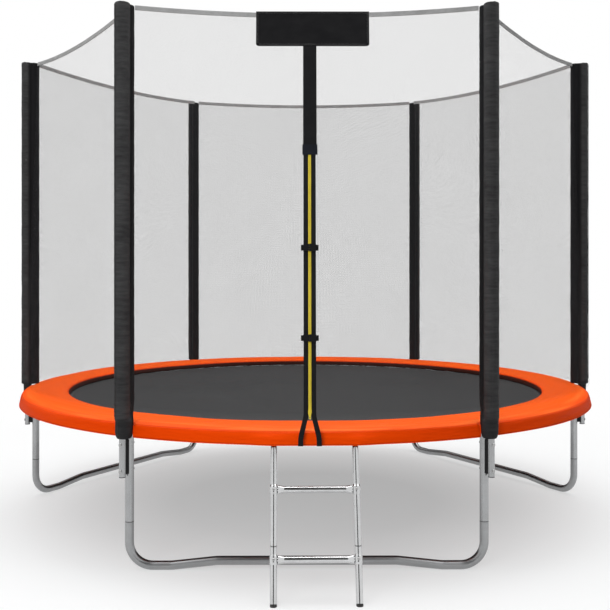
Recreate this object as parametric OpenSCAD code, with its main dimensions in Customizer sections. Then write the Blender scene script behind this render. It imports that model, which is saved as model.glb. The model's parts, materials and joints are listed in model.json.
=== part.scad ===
// Garden trampoline with a six-pole safety net, a zipped door and a hook-on ladder.
// Millimetres, +Z up. The origin is on the ground, in the middle of the footprint that the
// ring and the ladder take together. Poles are numbered anticlockwise, with pole 1 on the +X side.

/* [Top ring and legs] */
// Outer diameter of the top ring
frame_d = 3050; // [3000:10:3100]
// Outer diameter of the ring and leg tubes
tube_d = 38; // [36:1:40]
// Wall thickness of the steel tubes
tube_wall = 1.5; // [1:0.1:2]
// Height of the ring's centre line
ring_z = 596; // [580:1:640]
// Height of the joint between a leg base and its posts
leg_seam_z = 206; // [180:1:240]
// Centre-line radius of the bend between a leg base and its posts
leg_bend_r = 100; // [80:5:120]
// How far the middle of a leg base is lifted off the ground
base_rise = 20; // [12:1:30]

/* [Net poles] */
// Radius of the circle that the pole centres stand on
pole_circle_r = 1552; // [1550:1:1560]
// Outer diameter of the pole tubes
pole_d = 28; // [26:1:30]
// Height of the pole's lower end
pole_foot_z = 403; // [390:1:410]
// Height of the joint between the two tubes of a pole
pole_joint_z = 1400; // [1200:10:1600]
// Height of the top of the padded pole sleeve
sleeve_top_z = 2408; // [2350:1:2450]
// Heights of the two bolts that hold a pole to its leg post
pole_bolt_zs = [426, 537];

/* [Jumping bed] */
// Radius of the jumping mat
mat_r = 1300; // [1290:1:1305]
// Height of the mat's middle plane
mat_z = 590; // [575:1:595]
// Number of springs
spring_count = 54; // [48:6:60]
// Outer diameter of a spring's coils
spring_d = 22; // [18:1:24]

/* [Safety pad] */
// Outer radius of the safety pad
pad_r = 1537; // [1535:1:1540]
// Inner radius of the safety pad
pad_inner_r = 1280; // [1260:5:1290]
// Thickness of the padding
pad_t = 21.5; // [18:0.5:30]
// Height of the lower edge of the pad's skirt
skirt_z = 569; // [560:1:575]

/* [Safety net] */
// Height of the net's upper edge at the poles
net_top_z = 2392; // [2340:1:2400]
// How much the upper edge hangs down midway between two poles
net_sag = 34; // [0:1:60]
// Radius of the net's lower edge
net_foot_r = 1554; // [1552:1:1560]
// Squares of the net across one panel
net_columns = 6; // [2:2:8]
// Squares of the net from top to bottom
net_rows = 8; // [4:1:10]

/* [Door] */
// Distance of the zip from the middle of the front panel
door_x = 10; // [-40:1:40]
// Heights of the lower and the upper end of the zip
zip_zs = [690, 1765];
// Heights of the two buckles
buckle_zs = [996, 1362];
// Width and height of the blank panel above the door
panel_size = [480, 149];

/* [Ladder] */
// Distance between the centres of the two rails
rail_gap = 328; // [300:1:360]
// Outer diameter of the rails
rail_d = 27; // [24:1:28]
// Angle between the rails and the vertical
ladder_lean = 22.6; // [20:0.1:23]
// Sideways angle at which the ladder hangs on the ring
ladder_turn = 1.1; // [0:0.1:3]
// Heights of the two rungs
rung_zs = [157, 403];

/* [Hidden] */

$fn = 96;

// Ring and legs
ring_r = (frame_d - tube_d) / 2;
tube_r = tube_d / 2;
bore_r = tube_r - tube_wall;
// Swaged ends are a running fit in the next tube
swage_gap = 0.2;
swage_r = bore_r - swage_gap;
swage_len = 60;
neck_len = 20;
ring_swage_angle = 2.2;
ring_neck_angle = 0.8;
socket_len = 36;
post_top_z = ring_z - socket_len;
post_swage_len = 30;
bolt_d = 8;
bolt_hole_d = 8.6;
half_span = ring_r / 2;
chord_y = ring_r * cos(30);
// The lifted middle of a leg base climbs between two shallow bends
rise_bend_r = 150;
rise_angle = 6;
rise_start_x = 580;
rise_bend_lift = rise_bend_r * (1 - cos(rise_angle));
rise_ramp = (base_rise - 2 * rise_bend_lift) / sin(rise_angle);
rise_end_x = rise_start_x - 2 * rise_bend_r * sin(rise_angle) - rise_ramp * cos(rise_angle);
spring_hook_z = 594;
spring_hole_d = 8;

// Poles
pole_r = pole_d / 2;
pole_wall = 1.2;
pole_bore_r = pole_r - pole_wall;
pole_swage_r = pole_bore_r - swage_gap;
pole_swage_len = 60;
pole_top_z = sleeve_top_z - 22;
foam_r = 31;
sleeve_r = 34;
sleeve_wall = 2;
lobe_r = 24;
lobe_x = -39;
sleeve_foot_z = 646;
sleeve_tail_z = 562;
sleeve_shoulder_z = 622;
sleeve_tail_r = 36;
sleeve_tail_round = 8;
sleeve_dome = 10;
spacer_w = 22;
spacer_zs = [412, 556];
clear_r = ring_r + tube_r + 3;

// Bed
mat_t = 3;
mat_hem_w = 30;
mat_hem_t = 6;
link_t = 4;
link_bar = 4;
link_inner_r = mat_r - 18;
link_outer_r = mat_r + 34;
link_w = 44;
spring_inner_r = mat_r + 44;
spring_outer_r = ring_r - tube_r - 14;
hook_wire_d = 4;
pad_bottom_z = ring_z + tube_r + 0.5;
pad_top_z = pad_bottom_z + pad_t;
pad_edge_r = 12;
// The pad lies on the mat along its inner edge and climbs over the springs to the ring
pad_lip_z = 595;
pad_crest_z = 628;
pad_lip_r = 4;
skirt_t = 2.5;
pole_notch_r = sleeve_tail_r + 4;
// The skirt is pulled straight where the ladder's rails stand behind it
skirt_flat_x = 175;
skirt_flat_end_x = 300;

// Net
net_t = 3;
strand_w = 8;
hem_w = 25;
net_foot_z = 570;
net_top_r = 1488;
net_top_angle = 0.7;
net_foot_angle = 2.4;

// Door, in the sloping plane of the front panel
door_top_y = -net_top_r * cos(30 - net_top_angle);
door_top_z = net_top_z - net_sag;
door_tilt = atan((net_foot_r + door_top_y) / (door_top_z - net_foot_z));
tape_w = 16;
tape_t = 2;
tape_z = net_t + 0.3;
zip_w = 14;
strap_spread = 37;
flap_w = 53;
flap_foot_z = 1752;
panel_x = 14;
panel_z = 2296;
panel_t = 3;
slider_z = tape_z + tape_t + 0.6;
buckle_z = slider_z + 9;
buckle_t = 10;
buckle_h = 30;
buckle_half = 26;
loop_half = 36;
web_t = 2;
web_h = 22;

// Ladder, in the plane of its two hooks
hinge_y = -sqrt(ring_r * ring_r - rail_gap * rail_gap / 4);
rail_r = rail_d / 2;
hook_inner_r = tube_r + 1.6;
hook_outer_r = hook_inner_r + 4;
hook_w = 20;
// The hook runs from the rail over the top of the ring to a tip on the inner side
hook_tip_angle = 25;
hook_wrap = 270 - ladder_lean - hook_tip_angle;
hook_root_angle = 15;
rail_top = hook_inner_r + 3;
rail_len = ring_z / cos(ladder_lean);
// Each rail ends a little above the ground, in a plug with a flat foot
rail_wall = 2;
foot_floor = 2;
foot_plug = 24;
rail_end = rail_len - rail_r * tan(ladder_lean) - foot_floor;
swell_r = rail_r + 2.6;
swell_len = 40;
rung_h = 26;
rung_depth = 36;
rung_neck = 24;
rung_end_h = 34;
rung_wall = 1.6;
rung_end_d = 18;
rung_bolt_d = 6;

// The ring's centre lies behind the middle of the footprint, because the ladder stands in front
ladder_reach = -hinge_y + ring_z * tan(ladder_lean) + rail_r / cos(ladder_lean);
front_reach = ladder_reach * cos(ladder_turn) + rail_gap / 2 * sin(ladder_turn);
footprint_y = (front_reach - net_foot_r - net_t) / 2;

// ---------------------------------------------------------------- places

// Moves a shape from the ring's own centre to its place over the footprint
module placed() {
    translate([0, footprint_y, 0]) children();
}

// Turns a shape drawn at the +X side to the pole with the given number
module at_pole(number) {
    rotate([0, 0, 60 * (number - 1)]) children();
}

// Repeats a shape at all six poles
module at_each_pole() {
    for (number = [1:6]) at_pole(number) children();
}

// The sloping plane of the door: X runs right, Y up the slope from the given height, Z outwards
module on_door(height) {
    foot_gap = (door_top_z - height) * tan(door_tilt);
    translate([door_x, door_top_y - foot_gap, height])
        rotate([90 - door_tilt, 0, 0])
            children();
}

// The plane of the ladder: X right, Z down along the rails from the hooks, Y outwards
module on_ladder() {
    rotate([0, 0, ladder_turn])
        translate([0, hinge_y, ring_z])
            rotate([180 - ladder_lean, 0, 0])
                children();
}

// ---------------------------------------------------------------- frame

// A piece of round bar along an arc of the ring
module ring_arc(r, from, to) {
    rotate([0, 0, from])
        rotate_extrude(angle = to - from, $fn = 180)
            translate([ring_r, 0])
                circle(r = r);
}

// One of the six ring sections, with its welded leg socket, spring holes and swaged end
module top_rail(number) {
    color("silver") at_pole(number) translate([0, 0, ring_z]) difference() {
        union() {
            ring_arc(tube_r, -30, 30);
            ring_arc(swage_r, 29, 30 + ring_swage_angle);
            translate([ring_r, 0, -socket_len]) cylinder(r = tube_r, h = socket_len);
        }
        ring_arc(bore_r, -31, 30 - ring_neck_angle);
        ring_arc(swage_r - tube_wall, 29, 31 + ring_swage_angle);
        translate([ring_r, 0, -socket_len - 1]) cylinder(r = bore_r, h = socket_len);
        per_section = spring_count / 6;
        for (k = [0:per_section - 1])
            rotate([0, 0, -30 + (k + 0.5) * 60 / per_section])
                translate([ring_r - tube_r - 2, 0, spring_hook_z - ring_z])
                    rotate([0, 90, 0])
                        cylinder(d = spring_hole_d, h = 10, $fn = 32);
    }
}

// Cross-section of a steel tube
module tube_outline() {
    difference() {
        circle(r = tube_r);
        circle(r = bore_r);
    }
}

// A straight tube along +Z
module tube(length) {
    linear_extrude(length) tube_outline();
}

// A bent tube in the XZ plane, round a bend centre, between two angles from the +X side
module tube_bend(bend_r, from, to) {
    rotate([90, 0, 0]) rotate([0, 0, from])
        rotate_extrude(angle = to - from)
            translate([bend_r, 0]) tube_outline();
}

// Upright end of a leg base with the swaged end that carries a post
module base_stub() {
    bend_z = leg_bend_r + tube_r;
    rotate_extrude()
        polygon([
            [bore_r, bend_z],
            [tube_r, bend_z],
            [tube_r, leg_seam_z],
            [swage_r, leg_seam_z],
            [swage_r, leg_seam_z + swage_len - 3],
            [swage_r - 1, leg_seam_z + swage_len],
            [swage_r - tube_wall, leg_seam_z + swage_len],
            [swage_r - tube_wall, leg_seam_z - neck_len],
            [bore_r, leg_seam_z - neck_len]
        ]);
}

// Outer end of a leg base: the stretch on the ground, the bend and the stub
module base_end() {
    bend_z = leg_bend_r + tube_r;
    translate([half_span, 0, 0]) base_stub();
    translate([half_span - leg_bend_r, 0, bend_z]) tube_bend(leg_bend_r, -90, 0);
    translate([rise_start_x, 0, tube_r])
        rotate([0, 90, 0]) tube(half_span - leg_bend_r - rise_start_x);
}

// One side of the middle's centre line, from the ground up to the lifted stretch, as
// [x, z, slope] for each ring of the tube
base_climb = [
    for (k = [0:3]) let (a = rise_angle * k / 3)
        [rise_start_x - rise_bend_r * sin(a), tube_r + rise_bend_r * (1 - cos(a)), a],
    for (k = [3:-1:0]) let (a = rise_angle * k / 3)
        [rise_end_x + rise_bend_r * sin(a), tube_r + base_rise - rise_bend_r * (1 - cos(a)), a]
];

// Both sides together, from right to left
base_line = concat(base_climb, [for (k = [len(base_climb) - 1:-1:0])
    [-base_climb[k][0], base_climb[k][1], -base_climb[k][2]]]);

// Lifted middle of a leg base, as one tube through two gentle bends
module base_middle() {
    sides = 20;
    rings = len(base_line);
    points = [
        for (r = [tube_r - 0.02, bore_r + 0.3], ring = base_line, k = [0:sides - 1])
            let (a = 360 * k / sides, up = r * sin(a))
            [ring[0] + up * sin(ring[2]), r * cos(a), ring[1] + up * cos(ring[2])]
    ];
    at = function(layer, ring, k) (layer * rings + ring) * sides + k % sides;
    faces = [
        for (k = [0:sides - 1]) each concat(
            [for (ring = [0:rings - 2]) each [
                [at(0, ring, k), at(0, ring, k + 1), at(0, ring + 1, k + 1)],
                [at(0, ring, k), at(0, ring + 1, k + 1), at(0, ring + 1, k)],
                [at(1, ring, k), at(1, ring + 1, k + 1), at(1, ring, k + 1)],
                [at(1, ring, k), at(1, ring + 1, k), at(1, ring + 1, k + 1)]
            ]],
            [
                [at(0, 0, k), at(1, 0, k + 1), at(0, 0, k + 1)],
                [at(0, 0, k), at(1, 0, k), at(1, 0, k + 1)],
                [at(0, rings - 1, k), at(0, rings - 1, k + 1), at(1, rings - 1, k + 1)],
                [at(0, rings - 1, k), at(1, rings - 1, k + 1), at(1, rings - 1, k)]
            ]
        )
    ];
    polyhedron(points = points, faces = faces, convexity = 6);
}

// A leg base: one bent tube that carries two posts
module leg_base(turn) {
    color("silver") rotate([0, 0, turn]) translate([0, -chord_y, 0]) {
        base_end();
        mirror([1, 0, 0]) base_end();
        base_middle();
    }
}

// A radial hole through a post or pole
module bolt_hole(z) {
    translate([ring_r - 40, 0, z])
        rotate([0, 90, 0])
            cylinder(d = bolt_hole_d, h = 140, $fn = 32);
}

// An upright between a leg base and the ring
module leg_post(number) {
    color("silver") at_pole(number) difference() {
        translate([ring_r, 0, 0])
            rotate_extrude()
                polygon([
                    [bore_r, leg_seam_z],
                    [tube_r, leg_seam_z],
                    [tube_r, post_top_z],
                    [swage_r, post_top_z],
                    [swage_r, post_top_z + post_swage_len - 3],
                    [swage_r - 1, post_top_z + post_swage_len],
                    [swage_r - tube_wall, post_top_z + post_swage_len],
                    [swage_r - tube_wall, post_top_z - neck_len / 2],
                    [bore_r, post_top_z - neck_len / 2]
                ]);
        for (z = pole_bolt_zs) bolt_hole(z);
    }
}

// ---------------------------------------------------------------- net poles

// Lower tube of a pole, bolted to the post and swaged at its top
module pole_lower(number) {
    color("silver") at_pole(number) difference() {
        translate([pole_circle_r, 0, 0])
            rotate_extrude()
                polygon([
                    [pole_bore_r, pole_foot_z],
                    [pole_r, pole_foot_z],
                    [pole_r, pole_joint_z],
                    [pole_swage_r, pole_joint_z],
                    [pole_swage_r, pole_joint_z + pole_swage_len - 3],
                    [pole_swage_r - 1, pole_joint_z + pole_swage_len],
                    [pole_swage_r - pole_wall - 0.4, pole_joint_z + pole_swage_len],
                    [pole_swage_r - pole_wall - 0.4, pole_joint_z - neck_len],
                    [pole_bore_r, pole_joint_z - neck_len]
                ]);
        for (z = pole_bolt_zs) bolt_hole(z);
    }
}

// Upper tube of a pole
module pole_upper(number) {
    color("silver") at_pole(number)
        translate([pole_circle_r, 0, pole_joint_z])
            difference() {
                cylinder(r = pole_r, h = pole_top_z - pole_joint_z);
                translate([0, 0, -1]) cylinder(r = pole_bore_r, h = pole_top_z - pole_joint_z + 2);
            }
}

// Foam tubes round the poles
module pole_foam() {
    color("dimgray") at_each_pole()
        translate([pole_circle_r, 0, sleeve_foot_z + 4])
            difference() {
                cylinder(r = foam_r, h = pole_top_z - sleeve_foot_z - 6);
                translate([0, 0, -1]) cylinder(r = pole_r + 0.5, h = pole_top_z);
            }
}

// Section of a closed cloth tube: its wall from the inner foot up to the dome's top
function sleeve_section(r, foot, top, dome) = concat(
    [[r - sleeve_wall, foot], [r, foot]],
    [for (k = [0:6]) [r * cos(15 * k), top + dome * sin(15 * k)]],
    [[0, top - 3], [r - sleeve_wall, top - 3]]
);

// Cloth channel beside the padded tube, which holds the edge of the net
module sleeve_channel(body_top) {
    difference() {
        translate([lobe_x, 0, 0]) rotate_extrude()
            polygon(sleeve_section(lobe_r, sleeve_foot_z, body_top - 4, sleeve_dome - 4));
        translate([0, 0, sleeve_foot_z - 1])
            cylinder(r = sleeve_r - 1, h = body_top - sleeve_foot_z + 40);
    }
}

// Stitched cover of a foam tube, with a domed top and a wide lower end gathered round the pole
module pole_sleeve(number) {
    body_top = sleeve_top_z - sleeve_dome;
    tail_bore_r = sleeve_tail_r - sleeve_wall;
    color([0.15, 0.15, 0.15]) at_pole(number) translate([pole_circle_r, 0, 0]) {
        sleeve_channel(body_top);
        difference() {
            rotate_extrude()
                polygon(concat(
                    [
                        [sleeve_r - sleeve_wall, sleeve_shoulder_z + 12],
                        [tail_bore_r, sleeve_shoulder_z],
                        [tail_bore_r, sleeve_tail_z + sleeve_tail_round],
                        [tail_bore_r - sleeve_tail_round, sleeve_tail_z + sleeve_wall],
                        [pole_r + 0.5, sleeve_tail_z + sleeve_wall],
                        [pole_r + 0.5, sleeve_tail_z],
                        [sleeve_tail_r - sleeve_tail_round, sleeve_tail_z],
                        [sleeve_tail_r, sleeve_tail_z + sleeve_tail_round],
                        [sleeve_tail_r, sleeve_shoulder_z]
                    ],
                    [for (p = sleeve_section(sleeve_r, sleeve_shoulder_z + 12, body_top, sleeve_dome))
                        if (p[0] != sleeve_r - sleeve_wall || p[1] > sleeve_shoulder_z + 12) p]
                ));
            // Room for the ring behind the gathered end
            translate([-pole_circle_r, 0, sleeve_tail_z - 1])
                cylinder(r = clear_r, h = sleeve_shoulder_z - sleeve_tail_z - 1, $fn = 180);
        }
    }
}

// A shallow dome: a spherical cap of the given base radius and height
module low_dome(r, h) {
    cap_r = (r * r + h * h) / (2 * h);
    rotate_extrude()
        intersection() {
            translate([0, h - cap_r]) circle(r = cap_r, $fn = 240);
            square([r, h]);
        }
}

// Plastic saddles that keep each pole clear of its post
module pole_spacers() {
    color([0.1, 0.1, 0.1]) at_each_pole() difference() {
        translate([ring_r + 8, -spacer_w / 2, spacer_zs[0]])
            cube([pole_circle_r - ring_r - 12, spacer_w, spacer_zs[1] - spacer_zs[0]]);
        translate([ring_r, 0, spacer_zs[0] - 1])
            cylinder(r = tube_r + 0.05, h = spacer_zs[1] - spacer_zs[0] + 2);
        translate([pole_circle_r, 0, spacer_zs[0] - 1])
            cylinder(r = pole_r + 0.05, h = spacer_zs[1] - spacer_zs[0] + 2);
        for (z = pole_bolt_zs) bolt_hole(z);
    }
}

// Carriage bolts with their nuts, two at each pole
module pole_fasteners() {
    head_x = pole_circle_r + pole_r;
    nut_x = ring_r - tube_r;
    color("gray") at_each_pole() for (z = pole_bolt_zs) translate([0, 0, z]) rotate([0, 90, 0]) {
        translate([0, 0, nut_x - 9]) cylinder(d = bolt_d, h = head_x - nut_x + 9.5, $fn = 32);
        translate([0, 0, head_x]) low_dome(9, 4);
        translate([0, 0, nut_x - 6.5]) cylinder(d = 14.4, h = 6.4, $fn = 6);
    }
}

// End plugs of the pole tubes
module pole_caps() {
    color([0.1, 0.1, 0.1]) at_each_pole() translate([pole_circle_r, 0, 0]) {
        translate([0, 0, pole_foot_z - 3]) cylinder(r = pole_r, h = 3);
        translate([0, 0, pole_foot_z]) cylinder(r = pole_bore_r - 0.2, h = 12);
        translate([0, 0, pole_top_z]) cylinder(r = pole_r, h = 3);
        translate([0, 0, pole_top_z - 12]) cylinder(r = pole_bore_r - 0.2, h = 12);
    }
}

// ---------------------------------------------------------------- bed

// Woven mat with its doubled edge
module jump_mat() {
    color([0.28, 0.28, 0.29]) translate([0, 0, mat_z]) {
        translate([0, 0, -mat_t / 2]) cylinder(r = mat_r - mat_hem_w + 1, h = mat_t, $fn = 180);
        rotate_extrude($fn = 180)
            translate([mat_r - mat_hem_w, -mat_hem_t / 2])
                square([mat_hem_w, mat_hem_t]);
    }
}

// Repeats a shape drawn along +X at every spring
module at_each_spring() {
    for (k = [0:spring_count - 1])
        rotate([0, 0, k * 360 / spring_count]) children();
}

// Outline of a triangular link, drawn in by the given width
module link_outline(inset) {
    polygon([
        [link_inner_r + inset, link_w / 2 - 1.6 * inset],
        [link_inner_r + inset, -link_w / 2 + 1.6 * inset],
        [link_outer_r - 1.8 * inset, -3],
        [link_outer_r - 1.8 * inset, 3]
    ]);
}

// Triangular links sewn under the mat's edge, one for each spring
module mat_links() {
    color("silver") at_each_spring()
        translate([0, 0, mat_z - mat_hem_t / 2 - link_t])
            linear_extrude(link_t)
                difference() {
                    link_outline(0);
                    link_outline(link_bar);
                }
}

// Springs as closed solids of their outer shape, with the wire hooks at both ends
module springs() {
    r = spring_d / 2;
    wire_r = hook_wire_d / 2;
    color("gainsboro") at_each_spring() translate([0, 0, spring_hook_z]) {
        rotate([0, 90, 0]) rotate_extrude($fn = 48)
            polygon([
                [0, link_outer_r - 11],
                [wire_r, link_outer_r - 11],
                [wire_r, spring_inner_r],
                [r, spring_inner_r + 10],
                [r, spring_outer_r - 10],
                [wire_r, spring_outer_r],
                [wire_r, ring_r - tube_r + 8],
                [0, ring_r - tube_r + 8]
            ]);
        // Hook through the link
        translate([link_outer_r - 11.5, 0, -18])
            cylinder(r = wire_r, h = 18 + wire_r, $fn = 24);
    }
}

// Points of a quarter round with the given centre and radius, from one angle to the next
function quarter(centre, r, from) = [
    for (k = [0:6]) centre + r * [cos(from + 15 * k), sin(from + 15 * k)]
];

// Cross-section of the pad: padding with rounded edges, and the skirt that hangs from it
module pad_section() {
    lip = [pad_inner_r + pad_lip_r, pad_lip_z + pad_lip_r];
    crest = [pad_inner_r + pad_edge_r, pad_crest_z - pad_edge_r];
    shoulder = [pad_r - pad_edge_r, pad_top_z - pad_edge_r];
    polygon(concat(
        quarter(lip, pad_lip_r, 180),
        [
            [mat_r + 12, pad_lip_z],
            [mat_r + 50, pad_lip_z + 13],
            [ring_r - 26, pad_bottom_z],
            [pad_r - skirt_t, pad_bottom_z],
            [pad_r - skirt_t, skirt_z],
            [pad_r, skirt_z]
        ],
        quarter(shoulder, pad_edge_r, 0),
        [[mat_r + 100, pad_top_z]],
        quarter(crest, pad_edge_r, 90)
    ));
}

// The front of the skirt, pulled straight over the ladder's rails and drawn in by the given width
module skirt_front(inset) {
    end_y = -sqrt(pow(pad_r - inset, 2) - pow(skirt_flat_end_x, 2));
    rotate([0, 0, ladder_turn])
        polygon([
            [-skirt_flat_x, -pad_r + inset],
            [skirt_flat_x, -pad_r + inset],
            [skirt_flat_end_x, end_y],
            [-skirt_flat_end_x, end_y]
        ]);
}

// Ring-shaped pad over the springs, with its hanging skirt
module safety_pad() {
    behind_r = pad_r - 30;
    color([0.98, 0.38, 0.13]) difference() {
        union() {
            rotate_extrude($fn = 360) pad_section();
            translate([0, 0, skirt_z]) linear_extrude(pad_bottom_z + 6 - skirt_z) difference() {
                skirt_front(0);
                circle(r = behind_r, $fn = 360);
            }
        }
        translate([0, 0, skirt_z - 1]) linear_extrude(pad_bottom_z + 1 - skirt_z) difference() {
            skirt_front(skirt_t);
            circle(r = behind_r - 10, $fn = 360);
        }
        // Slots for the padded poles
        at_each_pole() translate([pole_circle_r, 0, skirt_z - 1])
            cylinder(r = pole_notch_r, h = 100);
        // Hollows pressed in by the ladder's hooks
        on_ladder() for (side = [-1, 1]) translate([side * rail_gap / 2 - hook_w / 2 - 2, 0, 0])
            rotate([0, 90, 0]) cylinder(r = hook_outer_r + 1, h = hook_w + 4);
    }
}

// ---------------------------------------------------------------- net

function mix(a, b, t) = a + (b - a) * t;
function polar(r, angle, z) = [r * cos(angle), r * sin(angle), z];

// A point of a net panel between poles at 0 and 60 degrees. u runs from pole to pole and v from
// the sagging upper edge to the lower edge, which lies on a circle outside the pad
function net_point(u, v, out) =
    let (
        left = polar(net_top_r + out, net_top_angle, net_top_z),
        right = polar(net_top_r + out, 60 - net_top_angle, net_top_z),
        top = mix(left, right, u) - [0, 0, 4 * net_sag * u * (1 - u)],
        foot = polar(net_foot_r + out, mix(net_foot_angle, 60 - net_foot_angle, u), net_foot_z)
    )
    mix(top, foot, v);

// Places of the edges of n + 1 strands, with wider hems at both ends, from 0 to 1
function strand_cuts(n, hem_a, hem_b, width) = [
    for (k = [0:n], side = [0, 1])
        let (at = k / n, half = width / 2)
        k == 0 ? side * hem_a : k == n ? 1 - (1 - side) * hem_b : at + (2 * side - 1) * half
];

// A net of square gaps between two values of u, as one closed surface
module net_lattice(u_from, u_to, columns) {
    width = 1510 * (u_to - u_from);
    height = net_top_z - net_foot_z;
    us = strand_cuts(columns, 12 / width, 12 / width, strand_w / width);
    vs = strand_cuts(net_rows, hem_w / height, 14 / height, strand_w / height);
    nu = len(us);
    nv = len(vs);
    points = [
        for (out = [0, net_t], v = vs, u = us) net_point(mix(u_from, u_to, u), v, out)
    ];
    at = function(i, j, layer) layer * nu * nv + j * nu + i;
    solid = function(i, j)
        i >= 0 && j >= 0 && i < nu - 1 && j < nv - 1 && (i % 2 == 0 || j % 2 == 0);
    // Two triangles of a four-sided face
    pair = function(a, b, c, d) [[a, b, c], [a, c, d]];
    faces = [
        for (j = [0:nv - 2], i = [0:nu - 2]) if (solid(i, j))
            for (face = concat(
                pair(at(i, j, 0), at(i + 1, j, 0), at(i + 1, j + 1, 0), at(i, j + 1, 0)),
                pair(at(i, j, 1), at(i, j + 1, 1), at(i + 1, j + 1, 1), at(i + 1, j, 1)),
                solid(i - 1, j) ? [] :
                    pair(at(i, j, 0), at(i, j + 1, 0), at(i, j + 1, 1), at(i, j, 1)),
                solid(i + 1, j) ? [] :
                    pair(at(i + 1, j, 0), at(i + 1, j, 1), at(i + 1, j + 1, 1), at(i + 1, j + 1, 0)),
                solid(i, j - 1) ? [] :
                    pair(at(i, j, 0), at(i, j, 1), at(i + 1, j, 1), at(i + 1, j, 0)),
                solid(i, j + 1) ? [] :
                    pair(at(i, j + 1, 0), at(i + 1, j + 1, 0), at(i + 1, j + 1, 1), at(i, j + 1, 1))
            )) face
    ];
    polyhedron(points = points, faces = faces, convexity = 8);
}

// Net between two poles
module net_panel(number) {
    color([0.2, 0.2, 0.2]) at_pole(number) net_lattice(0, 1, net_columns);
}

// The front panel, split by the zip
module net_door() {
    half_width = net_top_r * sin(30 - net_top_angle);
    middle = 0.5 + door_x / (2 * half_width);
    slit = 1.2 / half_width;
    color([0.2, 0.2, 0.2]) at_pole(5) {
        net_lattice(0, middle - slit, net_columns / 2);
        net_lattice(middle + slit, 1, net_columns / 2);
    }
}

// ---------------------------------------------------------------- door

// Distance up the door's slope for a height above the lower end of the zip
function up_slope(z) = (z - zip_zs[0]) / cos(door_tilt);

// Blank cloth panel above the door
module door_panel() {
    corner = 12;
    color([0.06, 0.06, 0.07]) on_door(panel_z)
        translate([panel_x - panel_size[0] / 2, -panel_size[1] / 2, tape_z])
            linear_extrude(panel_t) {
                translate([0, corner]) square([panel_size[0], panel_size[1] - corner]);
                translate([corner, 0]) square([panel_size[0] - 2 * corner, corner + 1]);
                for (x = [corner, panel_size[0] - corner]) translate([x, corner]) circle(r = corner);
            }
}

// Strip that covers the closed seam between the panel and the zip
module door_flap() {
    foot = up_slope(flap_foot_z);
    head = up_slope(panel_z) - panel_size[1] / 2 - 1;
    color([0.1, 0.1, 0.11]) on_door(zip_zs[0])
        translate([-flap_w / 2, foot, tape_z + tape_t + 0.3])
            cube([flap_w, head - foot, web_t]);
}

// Binding tapes and the two toothed halves of the zip. The tapes part below the zip and run
// down over the skirt
module zip_tapes() {
    head = up_slope(zip_zs[1]);
    foot = -(zip_zs[0] - net_foot_z) / cos(door_tilt);
    inner = zip_w / 2 + 0.5;
    color([0.08, 0.08, 0.08]) on_door(zip_zs[0]) for (side = [-1, 1]) {
        translate([0, 0, tape_z])
            linear_extrude(tape_t)
                polygon([
                    [side * inner, head],
                    [side * (inner + tape_w), head],
                    [side * (inner + tape_w), 0],
                    [side * (strap_spread + tape_w / 2 + 1), foot + 40],
                    [side * (strap_spread + tape_w / 2 + 1), foot],
                    [side * (strap_spread - tape_w / 2 - 1), foot],
                    [side * (strap_spread - tape_w / 2 - 1), foot + 40],
                    [side * inner, 0]
                ]);
        translate([side > 0 ? 0.3 : -zip_w / 2, 0, tape_z])
            cube([zip_w / 2 - 0.3, head, tape_t]);
    }
}

// Slider of the zip with its pull
module zip_slider() {
    color("gray") on_door(zip_zs[0]) translate([0, 13, slider_z]) {
        linear_extrude(3) {
            translate([-7, -6]) square([14, 14]);
            translate([0, 8]) circle(r = 7);
            translate([0, -6]) circle(r = 5);
        }
        translate([-1.5, -4, 3]) cube([3, 12, 2]);
        translate([0, 0, 5]) linear_extrude(1.5) difference() {
            union() {
                translate([-4, -24]) square([8, 28]);
                translate([0, -24]) circle(r = 4);
            }
            translate([0, -22]) circle(r = 2);
        }
    }
}

// A plane in front of the zip at one of the buckles, with Y still up the slope
module at_buckle(z) {
    on_door(z) translate([0, 0, buckle_z]) children();
}

// Webbing loop between a buckle and its tape, on the side of positive X
module web_loop() {
    back = tape_z + tape_t + 0.4 - buckle_z;
    translate([0, web_h / 2, 0]) rotate([90, 0, 0]) linear_extrude(web_h)
        polygon([
            [buckle_half - 5, buckle_t / 2 - web_t / 2],
            [loop_half - web_t, buckle_t / 2 - web_t / 2],
            [loop_half - web_t, back + web_t],
            [zip_w / 2 + 4, back + web_t],
            [zip_w / 2 + 4, back],
            [loop_half, back],
            [loop_half, buckle_t / 2 + web_t / 2],
            [buckle_half - 5, buckle_t / 2 + web_t / 2]
        ]);
}

// Receiving halves of the two buckles, each with its webbing
module buckle_catches() {
    color([0.08, 0.08, 0.08]) for (z = buckle_zs) at_buckle(z) {
        difference() {
            translate([-2, -buckle_h / 2, 0]) cube([buckle_half + 2, buckle_h, buckle_t]);
            // Socket for the tongue, with a release window on each side
            translate([-3, -12, 2]) cube([21, 24, buckle_t - 4]);
            translate([2, -buckle_h, 2]) cube([9, 2 * buckle_h, buckle_t - 4]);
            // Slot for the webbing
            translate([buckle_half - 6, -web_h / 2 - 0.5, 3]) cube([10, web_h + 1, buckle_t - 6]);
        }
        web_loop();
    }
}

// Tongue of a buckle with its centre guide and two spring arms
module buckle_tongue(z) {
    color([0.08, 0.08, 0.08]) at_buckle(z) {
        difference() {
            translate([-buckle_half, -buckle_h / 2 + 1, 0])
                cube([buckle_half - 2.5, buckle_h - 2, buckle_t]);
            translate([-buckle_half - 4, -web_h / 2 - 0.5, 3]) cube([10, web_h + 1, buckle_t - 6]);
        }
        translate([-3, -2.5, 3.5]) cube([18, 5, 3]);
        for (side = [-1, 1]) translate([-3, side * 9 - 1.5, 3.5]) cube([16, 3, 3]);
        mirror([1, 0, 0]) web_loop();
    }
}

// ---------------------------------------------------------------- ladder

// Distance along a rail, from the hooks, of a height above the ground
function down_rail(z) = (ring_z - z) / cos(ladder_lean);

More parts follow.
